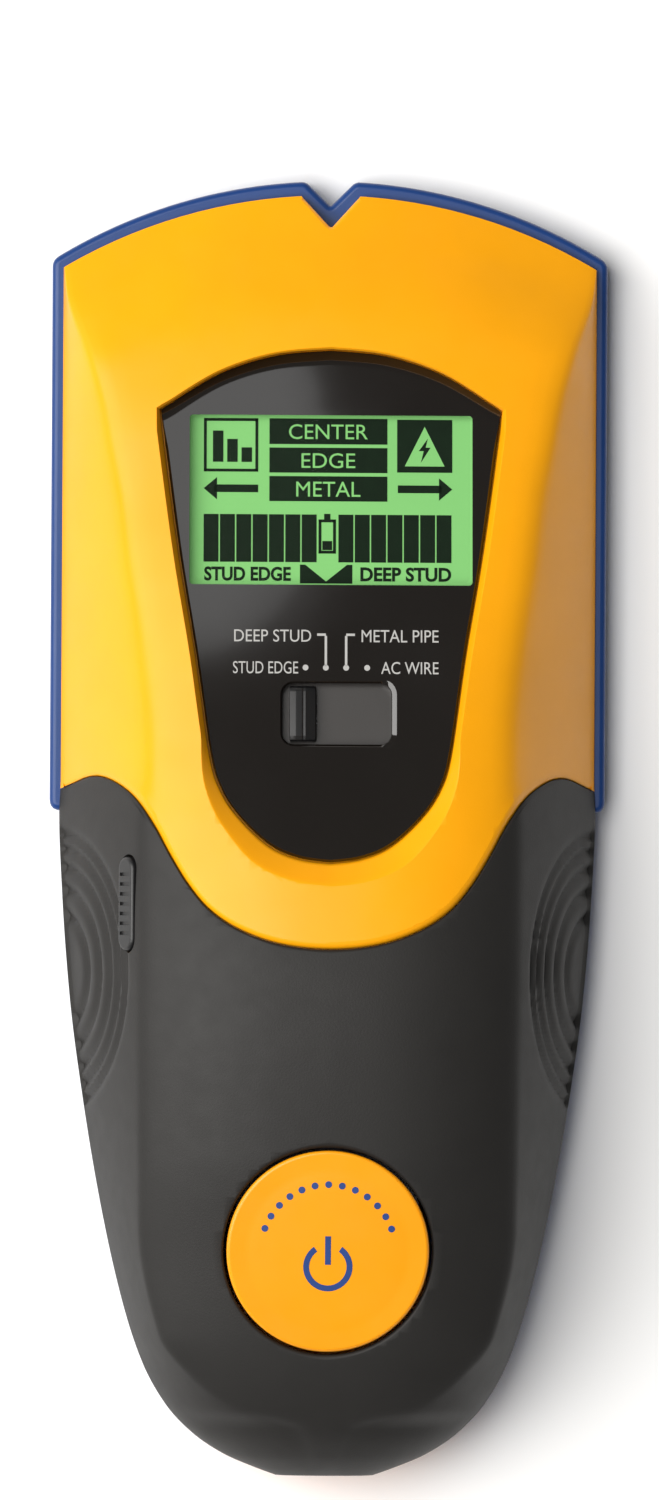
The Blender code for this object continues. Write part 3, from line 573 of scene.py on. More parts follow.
class Shader:
    """A Principled material put together from a few procedural layers."""

    def __init__(self, name, colour, roughness, **values):
        self.material = bpy.data.materials.new(name)
        self.material.use_nodes = True
        self.nodes = self.material.node_tree.nodes
        self.links = self.material.node_tree.links
        self.principled = self.nodes["Principled BSDF"]
        self.set("Base Color", (*colour, 1.0))
        self.set("Roughness", roughness)
        for key, value in values.items():
            self.set(key.replace("_", " "), value)
        self.colour = colour
        self.roughness = roughness
        self.place = self.nodes.new("ShaderNodeTexCoord").outputs["Object"]

    def set(self, socket, value):
        self.principled.inputs[socket].default_value = value

    def noise(self, size_mm, detail=2.0, stretch=None):
        """Noise whose grains are about size_mm across."""
        place = self.place
        if stretch:
            mapping = self.nodes.new("ShaderNodeMapping")
            mapping.inputs["Scale"].default_value = stretch
            self.links.new(place, mapping.inputs["Vector"])
            place = mapping.outputs["Vector"]
        texture = self.nodes.new("ShaderNodeTexNoise")
        texture.inputs["Scale"].default_value = 1.0 / (size_mm * MM)
        texture.inputs["Detail"].default_value = detail
        self.links.new(place, texture.inputs["Vector"])
        return texture.outputs["Fac"]

    def ranged(self, value, low, high):
        spread = self.nodes.new("ShaderNodeMapRange")
        spread.inputs["From Min"].default_value = 0.3
        spread.inputs["From Max"].default_value = 0.7
        spread.inputs["To Min"].default_value = low
        spread.inputs["To Max"].default_value = high
        self.links.new(value, spread.inputs["Value"])
        return spread.outputs["Result"]

    def varied_colour(self, size_mm, amount):
        mix = self.nodes.new("ShaderNodeMix")
        mix.data_type = "RGBA"
        lighter = [min(1.0, c * (1 + amount)) for c in self.colour]
        darker = [c * (1 - amount) for c in self.colour]
        mix.inputs["A"].default_value = (*darker, 1.0)
        mix.inputs["B"].default_value = (*lighter, 1.0)
        self.links.new(self.ranged(self.noise(size_mm, 3.0), 0.0, 1.0), mix.inputs["Factor"])
        self.links.new(mix.outputs["Result"], self.principled.inputs["Base Color"])
        return self

    def varied_roughness(self, size_mm, amount):
        low, high = self.roughness - amount, self.roughness + amount
        self.links.new(self.ranged(self.noise(size_mm, 4.0), low, high), self.principled.inputs["Roughness"])
        return self

    def grain(self, size_mm, depth_mm, strength=0.5, stretch=None):
        bump = self.nodes.new("ShaderNodeBump")
        bump.inputs["Strength"].default_value = strength
        bump.inputs["Distance"].default_value = depth_mm * MM
        self.links.new(self.noise(size_mm, 2.0, stretch), bump.inputs["Height"])
        self.links.new(bump.outputs["Normal"], self.principled.inputs["Normal"])
        return self


def make_materials():
    found = {}

    def add(
        key, colour, roughness, tint=(14.0, 0.03), gloss=(5.0, 0.04), grain=(0.35, 0.012, 0.35), **values,
    ):
        shader = Shader(key, colour, roughness, **values)
        if tint:
            shader.varied_colour(*tint)
        if gloss:
            shader.varied_roughness(*gloss)
        if grain:
            shader.grain(*grain)
        found[key] = shader.material

    add(
        "yellow_plastic", (0.92, 0.375, 0.003), 0.36,
        Specular_IOR_Level=0.25, Coat_Weight=0.07, Coat_Roughness=0.2,
    )
    add(
        "button_yellow", (0.90, 0.335, 0.003), 0.34,
        Specular_IOR_Level=0.35, Coat_Weight=0.12, Coat_Roughness=0.15,
    )
    # Battery door: a darker, browner copy of the housing yellow. The darkening is painted shade, matching the
    # shaded tone of the door's lip at the tail tip.
    add("door_yellow", (0.70, 0.235, 0.010), 0.42, grain=(0.5, 0.03, 0.5))
    add(
        "blue_plastic", (0.011, 0.046, 0.185), 0.34,
        Specular_IOR_Level=0.3, Coat_Weight=0.08, Coat_Roughness=0.2,
    )
    add(
        "grip_rubber", (0.0165, 0.0155, 0.0145), 0.55, tint=(9.0, 0.05), gloss=(3.0, 0.02),
        grain=(0.28, 0.03, 0.6), Specular_IOR_Level=0.3,
    )
    add(
        "faceplate_gloss", (0.0075, 0.0058, 0.0045), 0.09, tint=None, gloss=(20.0, 0.03), grain=None,
        Coat_Weight=0.5, Coat_Roughness=0.05,
    )
    add("black_plastic", (0.010, 0.010, 0.0105), 0.42)
    add("slider_plastic", (0.035, 0.032, 0.030), 0.36, grain=(0.3, 0.015, 0.4))
    add(
        "lcd_green", (0.19, 0.48, 0.15), 0.5, tint=(30.0, 0.05), gloss=None, grain=None,
        Specular_IOR_Level=0.15, Emission_Color=(0.24, 0.66, 0.19, 1.0), Emission_Strength=0.16,
    )
    add(
        "lcd_ink", (0.004, 0.013, 0.005), 0.6, tint=(2.0, 0.1), gloss=None, grain=None,
        Specular_IOR_Level=0.1,
    )
    add("light_guide", (0.80, 0.86, 0.80), 0.3)
    add("dark_rubber", (0.03, 0.03, 0.03), 0.75)
    add("white_plastic", (0.74, 0.74, 0.71), 0.45)
    add("circuit_board", (0.010, 0.115, 0.034), 0.35, tint=(1.6, 0.25))
    add("copper", (0.78, 0.36, 0.20), 0.3, Metallic=1.0)
    add("steel", (0.62, 0.62, 0.64), 0.3, Metallic=1.0, grain=(0.4, 0.01, 0.4))
    add("ribbon_cable", (0.50, 0.50, 0.53), 0.5)
    add("battery_wrap", (0.05, 0.05, 0.055), 0.32, Metallic=0.4)
    add("foam_pad", (0.05, 0.05, 0.05), 0.9, grain=(0.6, 0.2, 0.9))
    add("red_insulation", (0.46, 0.018, 0.015), 0.4)
    add("label_paper", (0.50, 0.51, 0.53), 0.45, Metallic=0.6)
    add("white_ink", (0.42, 0.415, 0.40), 0.5, tint=(1.5, 0.05), gloss=None, grain=None)
    add("blue_ink", (0.016, 0.050, 0.21), 0.4, tint=(3.0, 0.08), gloss=None, grain=None)
    add(
        "clear_window", (0.02, 0.03, 0.02), 0.06, gloss=(20.0, 0.02), grain=None,
        Alpha=0.035, Specular_IOR_Level=0.3,
    )
    return found


# ---------------------------------------------------------------- housings


def hollow_tool(name):
    layer = SHELL + GRIP_LAYER + GAP
    depth = through((-91, layer), (0, layer), (14, SHELL), (92, SHELL))
    rings = []
    for station in stations(-88.5, 87.0, 5.0, 2.0):
        half = upper_half(station, depth(station), parting_z(station) - 1.5)
        rings.append(sheared(mirrored(half), station))
    return loft(name, rings)


def share_of(value, start, end):
    """0 at start, 1 at end and beyond."""
    return min(max((value - start) / (end - start), 0.0), 1.0)


def by_rim_place(side, foot, dome):
    """A size that changes round the display's rim, from its long sides to its foot and its dome."""

    def size(x, y):
        return side + foot * share_of(y, 13.0, -2.0) + dome * share_of(y, 57.0, 61.0)

    return size


# The sloping rim is wide at its foot and a mere edge over its dome
rim_width = by_rim_place(0.8, 2.45, -0.5)
rim_drop = by_rim_place(2.1, 0.5, -1.4)


def yellow_shell(materials, height):
    shell = body_tool("front_shell", 0.0)
    shell.data.materials.append(materials["yellow_plastic"])
    hollow = hollow_tool("hollow")
    walls = [
        prism("display_wall", offset(faceplate_outline(), 2.2), lambda y: deck_z(y) - 4.2, 60.0),
        prism("well", circle(0, BUTTON_Y, BUTTON_RADIUS + 2.4, 48), lambda y: button_z(y) - 4.0, 60.0),
        prism("notch_wall", notch_outline(HOUSING_NOTCH_TIP_Y - 2.6, 20.0), -5.0, 40.0),
    ]
    for i, (x, y) in enumerate(SCREW_PLACES):
        walls.append(prism(f"boss_{i}", circle(x, y, 3.0, 16), parting_z(y) + 0.05, 60.0))
    cut(hollow, *walls)
    cut(shell, hollow)
    zone = router("zone", grip_zone_outline(), -5.0, 1.0, height)
    cut(zone, body_tool("core", GRIP_LAYER + GAP, floor_offset=-9.0, step=3.0))
    cut(shell, zone)
    floor = FACEPLATE_THICKNESS + GAP
    notch = resampled_notch(HOUSING_NOTCH_TIP_Y)
    opening = [(x * 0.895, DECK_Y + (y - DECK_Y) * 0.93) for x, y in faceplate_outline()]

    def under_floor(y):
        return deck_z(y) - floor - 0.05

    cut(
        shell,
        router("notch", notch, 0.0, 0.5, height),
        router(
            "pocket", offset(faceplate_outline(), 0.2), lambda y: deck_z(y) - floor, rim_width, height,
            drop=rim_drop, profile=CHAMFER,
        ),
        prism("display_hole", opening, 5.0, 60.0),
        prism("sight_hole", rounded((-20.7, 34.4), (20.7, 60.0), 0.6), 4.0, 61.0),
        prism("module_space", rounded((-23.8, 30.6), (23.8, 62.3), 0.8), 5.0, under_floor),
        prism("slider_space", rounded((-16.1, 9.8), (18.7, 22.3), 0.8), 5.0, under_floor),
        prism("button_hole", circle(0, BUTTON_Y, BUTTON_RADIUS + 0.5, 64), 5.0, 60.0),
        key_tool("key_hole", 0.35, -16.0, 12.0),
    )
    return finish_piece(shell, "housing", "yellow_plastic", "front_housing")


def resampled_notch(tip_y):
    """The notch's outline with its tip and mouth edges sampled closely, counter-clockwise."""
    depth = 9.0
    half = HOUSING_NOTCH_SLOPE * depth
    corner = with_round_corners([(0.0, tip_y), (half, tip_y + depth), (-half, tip_y + depth)], [0.5, 0, 0])
    points = []
    for a, b in zip(corner, corner[1:] + corner[:1]):
        a, b = Vector(a), Vector(b)
        pieces = max(1, round((b - a).length / 0.8))
        points += [tuple(a.lerp(b, i / pieces)) for i in range(pieces)]
    return points


def blue_base(materials):
    outline = notched_head()
    base = soft_prism(
        "base_shell", outline, 0.0, TRAY_TOP_Z, 0.9, materials["blue_plastic"], steps=4, foot=0.6,
    )
    rings = []
    for s in stations(TAIL_Y, 7.0, 2.2):
        rings.append([(x, s, z) for x, z in mirrored(lower_half(s, 0.0, parting_z(s) - GAP))])
    join(base, loft("belly", rings))
    hollow_rings = []
    for s in stations(-89.0, 7.0, 5.0, 1.5):
        hollow_rings.append([(x, s, z) for x, z in mirrored(lower_half(s, SHELL, parting_z(s) + 2.0))])
    tray = prism("tray", plain_head(TRAY_WALL), TRAY_FLOOR, 20.0)
    cut(tray, prism("tray_wall", notch_outline(HOUSING_NOTCH_TIP_Y - 2.6, 20.0), -5.0, 30.0))
    cut(base, tray, loft("belly_hollow", hollow_rings))
    for side in (-1, 1):
        inner, step, outer = DOOR_HALF_WIDTH + 0.5, DOOR_FLANGE + 0.4, DOOR_FLANGE + 2.7
        along = (RAIL_REAR_Y, DOOR_FRONT_Y - 1.5)
        across, riser = sorted((side * inner, side * outer)), sorted((side * step, side * outer))
        rail = door_slab("rail", across, (DOOR_THICKNESS + 0.35, DOOR_THICKNESS + 1.5), along)
        join(rail, door_slab("riser", riser, (1.0, DOOR_THICKNESS + 0.9), along))
        join(base, rail)
    for i, (x, y) in enumerate(SCREW_PLACES):
        seat = 0.7 if i < 4 else 6.3
        join(base, prism("post", circle(x, y, 3.3, 24), seat + 0.4, parting_z(y) - GAP))
        head = prism("head", circle(x, y, 3.05, 32), -5.0, seat + 2.1)
        cut(base, prism("shank", circle(x, y, 1.65, 20), -5.0, 20.0), head)
    cut(
        base,
        prism("label_recess", rounded((-17.3, 34.7), (17.3, 53.3), 1.2), -1.0, 0.6),
        door_space(),
        door_slab("pad_exit", (-DOOR_LIP - 0.4, DOOR_LIP + 0.4), (-7.0, 30.0), (-111.0, RAIL_REAR_Y - 0.03)),
    )
    return finish_piece(base, "housing", "blue_plastic", "base_housing")


def door_space():
    """Where the door slides: a slot with a wider groove over it, opened to that width behind the rails."""
    slot, wide, over = DOOR_HALF_WIDTH + 0.35, DOOR_FLANGE + 0.35, DOOR_THICKNESS + 0.35
    rings = []
    for y, foot in ((-110.0, wide), (RAIL_REAR_Y, wide), (RAIL_REAR_Y + 0.02, slot), (DOOR_FRONT_Y, slot)):
        half = ((foot, -6.0), (foot, 0.8), (wide + (0.01 if foot == wide else 0.0), 0.8), (wide, over))
        section = list(half) + [(-x, z) for x, z in reversed(half)]
        rings.append([(x, y, door_line(y) + z) for x, z in section])
    return loft("door_space", rings)


def door_slab(name, across, heights, along, material=None):
    (left, right), (low, high), (rear, front) = across, heights, along
    outline = [(left, rear), (right, rear), (right, front), (left, front)]
    return prism(name, outline, lambda y: door_line(y) + low, lambda y: door_line(y) + high, material)


def grip_relief(x, y):
    """Depth of the oval grooves that ring each side's finger rest."""
    along = (y - FINGER_REST[1]) / FINGER_REST_SIZE[1]
    across = (abs(x) - FINGER_REST[0]) / FINGER_REST_SIZE[0]
    away = math.hypot(along, across)
    grooves = sum(math.exp(-(((away - ring) / 0.037) ** 2)) for ring in FINGER_RINGS)
    bowl = max(0.0, 1.0 - (away / FINGER_RINGS[-1]) ** 2)
    return 0.62 * grooves + 0.35 * bowl


def rubber_grip(materials, height):
    grip = body_tool("grip", 0.0, step=0.65, side_steps=44)
    grip.data.materials.append(materials["grip_rubber"])
    normals = [vertex.normal.copy() for vertex in grip.data.vertices]
    for vertex, normal in zip(grip.data.vertices, normals):
        x, y, z = vertex.co / MM
        if z > parting_z(y) + 0.6 and abs(x) > 24.0:
            vertex.co -= normal * grip_relief(x, y) * MM
    cut(grip, router("front_cut", reversed_zone(), -5.0, 0.5, height))
    cut(
        grip,
        body_tool("grip_core", GRIP_LAYER, floor_offset=-9.0, step=3.0),
        router("button_rim", circle(0, BUTTON_Y, BUTTON_RADIUS + 0.45, 72), 5.0, 0.7, height),
        key_tool("key_hole", 0.35, -16.0, 12.0),
    )
    return finish_piece(grip, "housing", "grip_rubber", "grip_overmold", weighted=False)


def reversed_zone():
    """Everything in front of the grip line, closed beyond the head, counter-clockwise."""
    line = grip_line()
    moved = [(x, y - SEAM) for x, y in line]
    return moved + [(46.0, 110.0), (-46.0, 110.0)]


# ---------------------------------------------------------------- display


def faceplate(materials):
    outline = faceplate_outline()
    band_drop = 0.75
    ledge = [(x, y, deck_z(y) - band_drop) for x, y in outline]
    face = []
    for x, y in outline:
        down = 2.1 * share_of(y, 54.0, 60.5) - 0.35 * share_of(y, 5.0, -3.0)
        face.append((0.985 * x, y - down, deck_z(y - down)))
    foot = [(x, y, deck_z(y) - FACEPLATE_THICKNESS) for x, y in outline]
    plate = loft("faceplate", [foot, ledge, face], materials["faceplate_gloss"])
    window = rounded((-LCD_HALF_WIDTH, LCD_Y[0]), (LCD_HALF_WIDTH, LCD_Y[1]), 0.5)
    (left, right), (bottom, top) = SLIDER_WINDOW_X, SLIDER_WINDOW_Y
    slider_hole = rounded((left, bottom), (right, top), 1.6)

    def bevel(x, y):
        return 0.3 + 0.45 * share_of(x, 7.0, 8.0)

    cut(
        plate, prism("window", window, 0.0, 60.0),
        router(
            "slider_window", slider_hole, 0.0, bevel, lambda x, y: deck_z(y), drop=0.42, profile=CHAMFER,
        ),
    )
    return finish_piece(plate, "housing", "faceplate_gloss", "display_faceplate")


def on_deck(piece, depth):
    """Lays a flat piece, drawn on z = 0, onto the deck's slope, depth below the faceplate's face."""
    for vertex in piece.data.vertices:
        y = vertex.co.y / MM
        vertex.co.z += (deck_z(y) - depth) * MM
    return piece


def bars(name, outlines, bottom, top, material=None):
    """Several prisms as one mesh."""
    low, high = level(bottom), level(top)
    vertices, faces = [], []
    for outline in outlines:
        start, count = len(vertices), len(outline)
        vertices += [(x, y, low(y)) for x, y in outline] + [(x, y, high(y)) for x, y in outline]
        faces.append(tuple(start + i for i in reversed(range(count))))
        faces.append(tuple(start + count + i for i in range(count)))
        for i in range(count):
            j = (i + 1) % count
            faces.append((start + i, start + j, start + count + j, start + count + i))
    return mesh_object(name, vertices, faces, material)


def rectangle(left, bottom, right, top):
    return [(left, bottom), (right, bottom), (right, top), (left, top)]


def lettering(name, text, centre, height, width, material, weight=0.0):
    """Plain generic lettering as a thin mesh, drawn on z = 0 and fitted to height and width."""
    curve = bpy.data.curves.new(name, "FONT")
    curve.body = text
    curve.align_x = "CENTER"
    curve.align_y = "CENTER"
    curve.resolution_u = FONT_CURVE_STEPS
    curve.extrude = 0.5
    curve.offset = weight
    drawn = bpy.data.objects.new(name + "_curve", curve)
    bpy.context.collection.objects.link(drawn)
    graph = bpy.context.evaluated_depsgraph_get()
    mesh = bpy.data.meshes.new_from_object(drawn.evaluated_get(graph))
    bpy.data.objects.remove(drawn, do_unlink=True)
    xs = [v.co.x for v in mesh.vertices]
    ys = [v.co.y for v in mesh.vertices]
    middle = ((min(xs) + max(xs)) / 2, (min(ys) + max(ys)) / 2)
    scale = (width / (max(xs) - min(xs)), height / (max(ys) - min(ys)))
    for vertex in mesh.vertices:
        vertex.co.x = (centre[0] + (vertex.co.x - middle[0]) * scale[0]) * MM
        vertex.co.y = (centre[1] + (vertex.co.y - middle[1]) * scale[1]) * MM
        vertex.co.z = (vertex.co.z + 0.5) * FINE_PRINT * MM
    mesh.materials.clear()
    mesh.materials.append(material)
    made = bpy.data.objects.new(name, mesh)
    bpy.context.collection.objects.link(made)
    return made


LCD_DEPTH = 1.88
LCD_SHIFT = -0.3


def lcd_picture(materials):
    ink = materials["lcd_ink"]
    green = materials["lcd_green"]
    frame_width = 0.42

    def framed(left, bottom, right, top):
        return [
            rectangle(left, bottom, right, bottom + frame_width),
            rectangle(left, top - frame_width, right, top),
            rectangle(left, bottom, left + frame_width, top),
            rectangle(right - frame_width, bottom, right, top),
        ]

    dark = framed(-18.2, 51.3, -10.4, 59.0)
    dark += [rectangle(-16.9 + 2.05 * i, 52.7, -15.4 + 2.05 * i, 57.2 - 1.2 * i) for i in range(3)]
    for low, high in ((55.3, 59.0), (51.2, 54.8), (47.1, 50.7)):
        dark.append(rectangle(-8.8, low, 8.1, high))
    dark.append(rectangle(9.5, 51.3, 17.4, 58.9))
    for side, tip, tail in ((-1, -18.2, -10.4), (1, 17.4, 9.6)):
        neck = tip - side * 1.5
        dark.append(rectangle(min(tail, neck), 48.35, max(tail, neck), 49.45))
        head = [(tip, 48.9), (tip - side * 1.9, 50.5), (tip - side * 1.9, 47.3)]
        dark.append(head if side < 0 else list(reversed(head)))
    for start in (-18.2, 1.1):
        dark += [rectangle(start + 2.34 * i, 38.35, start + 2.34 * i + 2.14, 45.2) for i in range(7)]
    dark.append(rectangle(-4.4, 35.3, 3.1, 38.0))
    dark += framed(-1.75, 39.6, 0.75, 44.5)
    dark += [rectangle(-0.95, 44.5, -0.05, 45.3), rectangle(-1.2, 40.1, 0.2, 41.4)]
    picture = bars("lcd_segments", dark, 0.0, 0.02, ink)
    light = [
        [(10.6, 52.2), (16.3, 52.2), (13.45, 57.9)],
        [(-3.7, 38.05), (-0.65, 35.6), (2.4, 38.05)],
    ]
    lit = bars("lcd_lit_shapes", light, 0.0, 0.03, green)
    zigzag = [(13.9, 56.2), (12.6, 54.4), (13.3, 54.4), (12.9, 52.7), (14.3, 54.9), (13.6, 54.9)]
    bolt = bars("lcd_bolt", [zigzag], 0.0, 0.04, ink)
    words = []
    for text, y, width in (("CENTER", 57.1, 11.3), ("EDGE", 52.95, 7.7), ("METAL", 48.85, 9.2)):
        words.append(lettering(f"lcd_{text.lower()}", text, (-0.35, y), 2.15, width, green))
    for text, x, width in (("STUD EDGE", -11.9, 12.4), ("DEEP STUD", 10.75, 13.0)):
        name = "lcd_" + text.lower().replace(" ", "_")
        words.append(lettering(name, text, (x, 36.65), 2.05, width, ink, weight=0.032))
    for piece in (picture, lit, bolt, *words):
        piece.data.transform(Matrix.Translation((0, LCD_SHIFT * MM, 0)))
        on_deck(piece, LCD_DEPTH)
        slot = "lcd_green" if piece.data.materials[0] == green else "black_plastic"
        finish_piece(piece, "housing", slot, weighted=False)


def faceplate_print(materials):
    ink = materials["white_ink"]
    shapes = []
    for x in (-3.6, -0.7, 2.2, 5.2):
        shapes.append(circle(x, 22.95, 0.42, 16))
    line = 0.34
    for x, side in ((-0.7, -1), (2.2, 1)):
        shapes.append(rectangle(x - line / 2, 23.2, x + line / 2, 27.5))
        shapes.append(rectangle(min(x, x + side * 1.25), 27.5, max(x, x + side * 1.25), 27.5 + line))
    marks = bars("mode_marks", shapes, 0.0, 0.03, ink)
    words = []
    for text, x, y, width in (
        ("DEEP STUD", -8.3, 27.5, 11.0), ("STUD EDGE", -9.3, 22.95, 9.3),
        ("METAL PIPE", 9.9, 27.5, 11.0), ("AC WIRE", 11.3, 22.95, 8.2),
    ):
        words.append(lettering("mode_" + text.lower().replace(" ", "_"), text, (x, y), 1.75, width, ink))
    for piece in (marks, *words):
        on_deck(piece, -0.01)
        finish_piece(piece, "housing", "white_plastic", weighted=False)


def slider(materials):
    y_low, y_high = SLIDER_WINDOW_Y
    rest_x = SLIDER_WINDOW_X[0] + 3.25
    left = SLIDER_WINDOW_X[0] - SLIDER_TRAVEL - 0.1
    right = SLIDER_WINDOW_X[1] + 0.9
    plate = prism(
        "slider_knob", rounded((left, y_low - 0.9), (right, y_high + 0.9), 0.8),
        lambda y: deck_z(y) - 2.6, lambda y: deck_z(y) - 1.85, materials["slider_plastic"],
    )
    middle = (y_low + y_high) / 2
    reach = 1.75
    socket = rounded((rest_x - reach, middle - reach), (rest_x + reach, middle + reach), 0.3)
    cut(plate, prism("socket", socket, lambda y: deck_z(y) - 9.0, lambda y: deck_z(y) - 0.7))
    return finish_piece(plate, "mode_slider", "slider_plastic", "mode_slider_knob")


def thumb_ridge(materials):
    """Stands on the shroud: a sloping strip along its left, then two facets that fall away to the right."""
    y_low, y_high = SLIDER_WINDOW_Y[0] + 0.4, SLIDER_WINDOW_Y[1] - 0.4
    rest_x = SLIDER_WINDOW_X[0] + 2.95
    profile = (
        (-1.95, -1.88), (1.95, -1.88), (1.95, -1.2), (1.75, -0.55), (0.5, 0.16), (0.35, 0.26), (0.2, 0.2),
        (0.0, 0.2), (-0.15, 0.38), (-0.95, 0.5), (-1.1, 0.49), (-1.85, 0.25), (-1.95, 0.12),
    )
    rings = []
    ends = (
        (y_low, 0.75), (y_low + 0.25, 0.25), (y_low + 0.8, 0.0),
        (y_high - 0.8, 0.0), (y_high - 0.25, 0.25), (y_high, 0.75),
    )
    for y, shrink in ends:
        ring = []
        for x, z in profile:
            ring.append((rest_x + x * (1 - 0.12 * shrink), y, deck_z(y) + z - shrink * max(z + 1.2, 0.0)))
        rings.append(ring)
    ridge = loft("thumb_ridge", rings, materials["black_plastic"])
    return finish_piece(ridge, "mode_slider", "black_plastic")


# ---------------------------------------------------------------- buttons


def disc_button(materials):
    rim = circle(0, BUTTON_Y, BUTTON_RADIUS, 96)
    cap = soft_prism(
        "button_cap", rim, lambda y: button_z(y) - 1.7, lambda y: button_z(y) + 0.2, 0.55,
        materials["button_yellow"], steps=5,
    )
    rings = [[(x, y, button_z(y) - 0.8) for x, y in circle(0, BUTTON_Y, CROWN_RADIUS, 96)]]
    steps = 8
    for i in range(steps + 1):
        share = i / steps
        radius = CROWN_RADIUS * math.cos(math.pi / 2 * share * 0.985)
        rise = CROWN_HEIGHT * math.sin(math.pi / 2 * share)
        rings.append([(x, y, button_z(y) + rise) for x, y in circle(0, BUTTON_Y, radius, 96)])
    join(cap, loft("crown", rings))
    boss = circle(0, BUTTON_Y, 3.0, 24)
    join(cap, prism("boss", boss, lambda y: button_z(y) - 2.2, lambda y: button_z(y) - 0.8))
    return finish_piece(cap, "round_button", "button_yellow", "round_button", angle=50)


def ring_segment(x, y, radius, width, start, end, steps=28):
    turns = [start + (end - start) * i / steps for i in range(steps + 1)]
    outer, inner = radius + width / 2, radius - width / 2
    points = [(x + outer * math.cos(t), y + outer * math.sin(t)) for t in turns]
    points += [(x + inner * math.cos(t), y + inner * math.sin(t)) for t in reversed(turns)]
    return points


def button_print(materials):
    """A plain power sign and an arc of dots."""
    shapes = [
        ring_segment(0, BUTTON_Y - 2.2, 3.1, 0.85, math.radians(125), math.radians(415)),
        rectangle(-0.42, BUTTON_Y - 1.9, 0.42, BUTTON_Y + 2.2),
    ]
    dots = 13
    arc_radius = 9.6
    for i in range(dots):
        turn = math.radians(160 - 140 * i / (dots - 1))
        x, y = arc_radius * math.cos(turn), BUTTON_Y + arc_radius * math.sin(turn)
        shapes.append(circle(x, y, 0.5, 16))
    marks = bars("button_marks", shapes, 0.0, 0.04, materials["blue_ink"])
    for vertex in marks.data.vertices:
        x, y = vertex.co.x / MM, vertex.co.y / MM
        away = min(1.0, math.hypot(x, y - BUTTON_Y) / CROWN_RADIUS)
        vertex.co.z += (button_z(y) + CROWN_HEIGHT * math.sqrt(1 - away * away)) * MM
    return finish_piece(marks, "round_button", "button_yellow", weighted=False)


def key_matrix():
    outward = Vector((-math.cos(KEY_ANGLE), 0.0, math.sin(KEY_ANGLE)))
    along = Vector((0.0, 1.0, 0.0))
    across = along.cross(outward)
    turn = Matrix((across, along, outward)).transposed().to_4x4()
    return Matrix.Translation(Vector(KEY_CENTRE) * MM) @ turn


def in_body_frame(piece, matrix):
    piece.data.transform(matrix)
    return piece


def key_outline(grow=0.0):
    across, along = (half + grow for half in KEY_HALF_SIZE)
    return rounded((-across, -along), (across, along), across - 0.1, steps=8)


def key_tool(name, grow, bottom, top, material=None):
    return in_body_frame(prism(name, key_outline(grow), bottom, top, material), key_matrix())


def side_key(materials):
    key = soft_prism("power_key", key_outline(), -5.6, 0.75, 0.5, materials["black_plastic"], steps=4)
    join(key, prism("flange", key_outline(1.4), -6.6, -5.3))
    grooves = [rectangle(-1.25, -4.45 + 1.4 * i, 1.25, -3.95 + 1.4 * i) for i in range(7)]
    cut(key, bars("key_grooves", grooves, 0.45, 3.0))
    in_body_frame(key, key_matrix())
    return finish_piece(key, "side_power_button", "black_plastic", "side_power_button")


# ---------------------------------------------------------------- underside


def sliding_door(materials):
    rings = []
    for station in [DOOR_FRONT_Y - 0.35] + stations(-93.0, -70.0, 2.0)[::-1]:
        low = door_line(station)
        flat = min(DOOR_HALF_WIDTH, belly_half_width(station))
        rise = min(1.0, DOOR_THICKNESS / (parting_z(station) - GAP - low))
        full = flat + (half_width(station) - flat) * math.sqrt(1 - (1 - rise) ** 2)
        wide = min(DOOR_HALF_WIDTH, full)
        edge = 0.35
        section = (
            (-flat + edge, low), (flat - edge, low), (flat, low + edge), (wide, low + DOOR_THICKNESS),
            (-wide, low + DOOR_THICKNESS), (-flat, low + edge),
        )
        rings.append([(x, station, z) for x, z in section])
    # The door's darker yellow is painted shade: a shaded copy of the housing yellow.
    door = loft("sliding_door", rings, materials["door_yellow"])
    flange = door_slab(
        "flange", (-DOOR_FLANGE, DOOR_FLANGE), (DOOR_THICKNESS - 0.85, DOOR_THICKNESS - 0.02),
        (RAIL_REAR_Y - 0.6, DOOR_FRONT_Y - 0.4),
    )
    lip_outline = rounded((-DOOR_LIP, TAIL_Y + 0.02), (DOOR_LIP, TAIL_Y + 1.6), 0.6)
    lip = soft_prism("lip", lip_outline, 8.4, 11.15, 0.4)
    join(door, flange, lip)
    grooves = []
    for i in range(7):
        y, reach = -66.13 - 2.2 * i, 9.0 - 0.6 * i
        grooves.append(rectangle(-reach, y, reach, y + 0.9))
    cut(door, bars("door_grooves", grooves, lambda y: door_line(y) - 2.0, lambda y: door_line(y) + 0.55))
    return finish_piece(door, "battery_door", "door_yellow", "battery_door")


# ---------------------------------------------------------------- carried-over nodes


def dress_nodes(materials):
    """Gives each CAD node that stays the procedural material of its slot."""
    for row in frame["record"]["subparts"]:
        piece = frame["nodes"][row["node"]]
        slot = row["material_slot"]
        piece.data.materials.clear()
        piece.data.materials.append(materials[slot])
        piece.data.shade_smooth()
        piece.data.set_sharp_from_angle(angle=math.radians(32))


# ---------------------------------------------------------------- stage


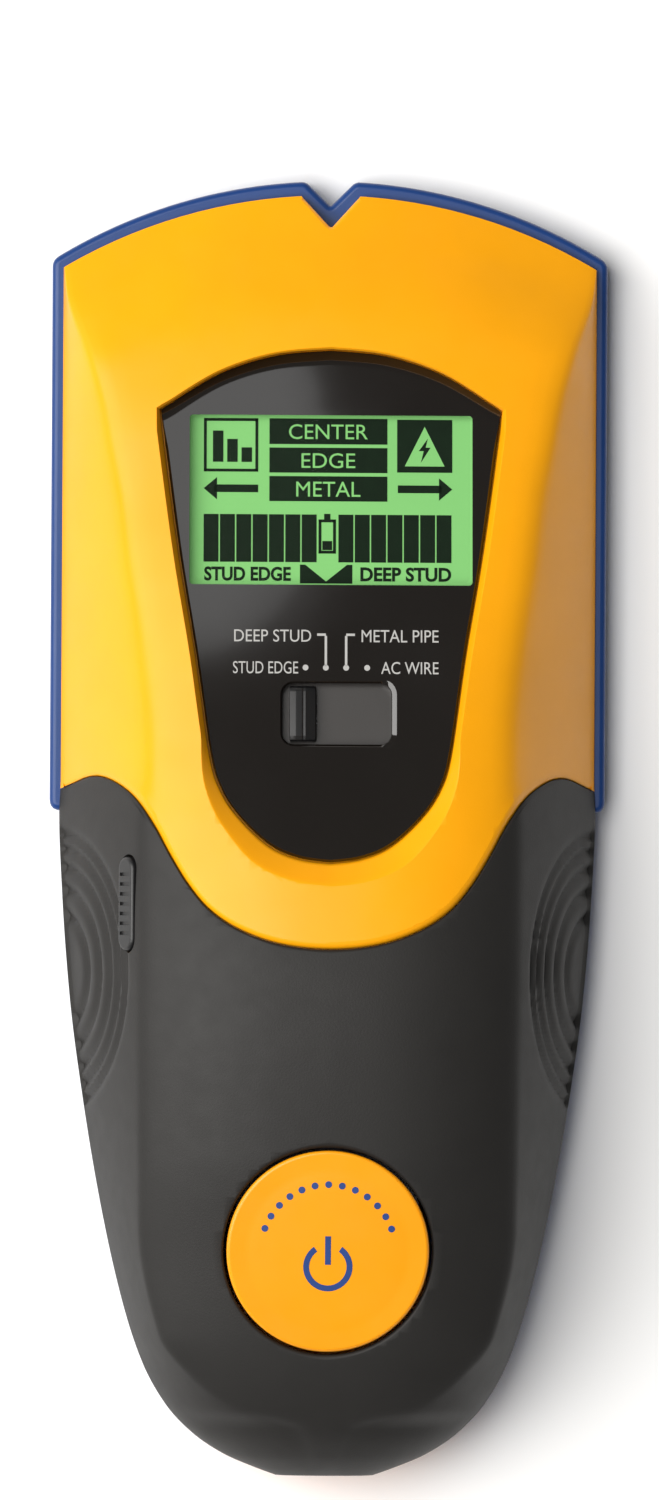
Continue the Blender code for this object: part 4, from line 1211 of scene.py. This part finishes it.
def make_stage():
    floor_material = bpy.data.materials.new("stage_floor")
    floor_material.use_nodes = True
    shader = floor_material.node_tree.nodes["Principled BSDF"]
    shader.inputs["Base Color"].default_value = (0.96, 0.96, 0.96, 1.0)
    shader.inputs["Roughness"].default_value = 0.9
    shader.inputs["Specular IOR Level"].default_value = 0.1
    half, below = 3000.0, -0.05
    corners = [(x, y, below) for x, y in rectangle(-half, -half, half, half)]
    floor = mesh_object("stage_floor", corners, [(0, 1, 2, 3)], floor_material)
    world = bpy.data.worlds.new("studio")
    bpy.context.scene.world = world
    world.use_nodes = True
    bpy.context.scene.view_settings.view_transform = "Standard"
    sky = world.node_tree.nodes["Background"]
    sky.inputs["Color"].default_value = (1.0, 1.0, 1.0, 1.0)
    sky.inputs["Strength"].default_value = 0.13
    for name, shape, place, size, power, colour in (
        ("key_light", "RECTANGLE", (-0.9, 0.05, 1.3), (1.5, 2.0), 51.0, (1.0, 0.985, 0.96)),
        ("sheen_panel", "ELLIPSE", (-0.020, 0.196, 0.29), (0.05, 0.07), 0.0125, (1.0, 1.0, 1.0)),
    ):
        lamp = bpy.data.lights.new(name, "AREA")
        lamp.shape = shape
        lamp.size, lamp.size_y = size
        lamp.energy = power
        lamp.color = colour
        made = bpy.data.objects.new(name, lamp)
        made.location = place
        made.rotation_euler = (Vector((0, 0.05, 0.02)) - Vector(place)).to_track_quat("-Z", "Y").to_euler()
        made.visible_camera = False
        bpy.context.collection.objects.link(made)


VIEW_HEIGHT = 216.2
VIEW_CENTRE = (0.3, 11.2, 5.0)
CAMERA_DISTANCE = 2400.0
CAMERA_SIDE_TILT = math.radians(-1.0)
CAMERA_ROLL = math.radians(0.33)


def make_camera():
    """Straight above the face, a degree to the left, with a long lens."""
    lens = bpy.data.cameras.new("camera")
    lens.sensor_fit = "VERTICAL"
    lens.sensor_height = 36.0
    lens.lens = lens.sensor_height * CAMERA_DISTANCE / VIEW_HEIGHT
    lens.clip_end = 20.0
    camera = bpy.data.objects.new("camera", lens)
    turn = Matrix.Rotation(CAMERA_SIDE_TILT, 4, "Y") @ Matrix.Rotation(CAMERA_ROLL, 4, "Z")
    camera.matrix_world = (
        Matrix.Translation(Vector(VIEW_CENTRE) * MM) @ turn @ Matrix.Translation((0, 0, CAMERA_DISTANCE * MM))
    )
    bpy.context.collection.objects.link(camera)
    bpy.context.scene.camera = camera


def main():
    make_camera()
    make_stage()
    materials = make_materials()
    dress_nodes(materials)
    body = body_tool("body_surface", 0.0)
    height = surface_of(body)
    bpy.data.objects.remove(body, do_unlink=True)
    yellow_shell(materials, height)
    blue_base(materials)
    rubber_grip(materials, height)
    faceplate(materials)
    lcd_picture(materials)
    faceplate_print(materials)
    slider(materials)
    thumb_ridge(materials)
    disc_button(materials)
    button_print(materials)
    side_key(materials)
    sliding_door(materials)


main()
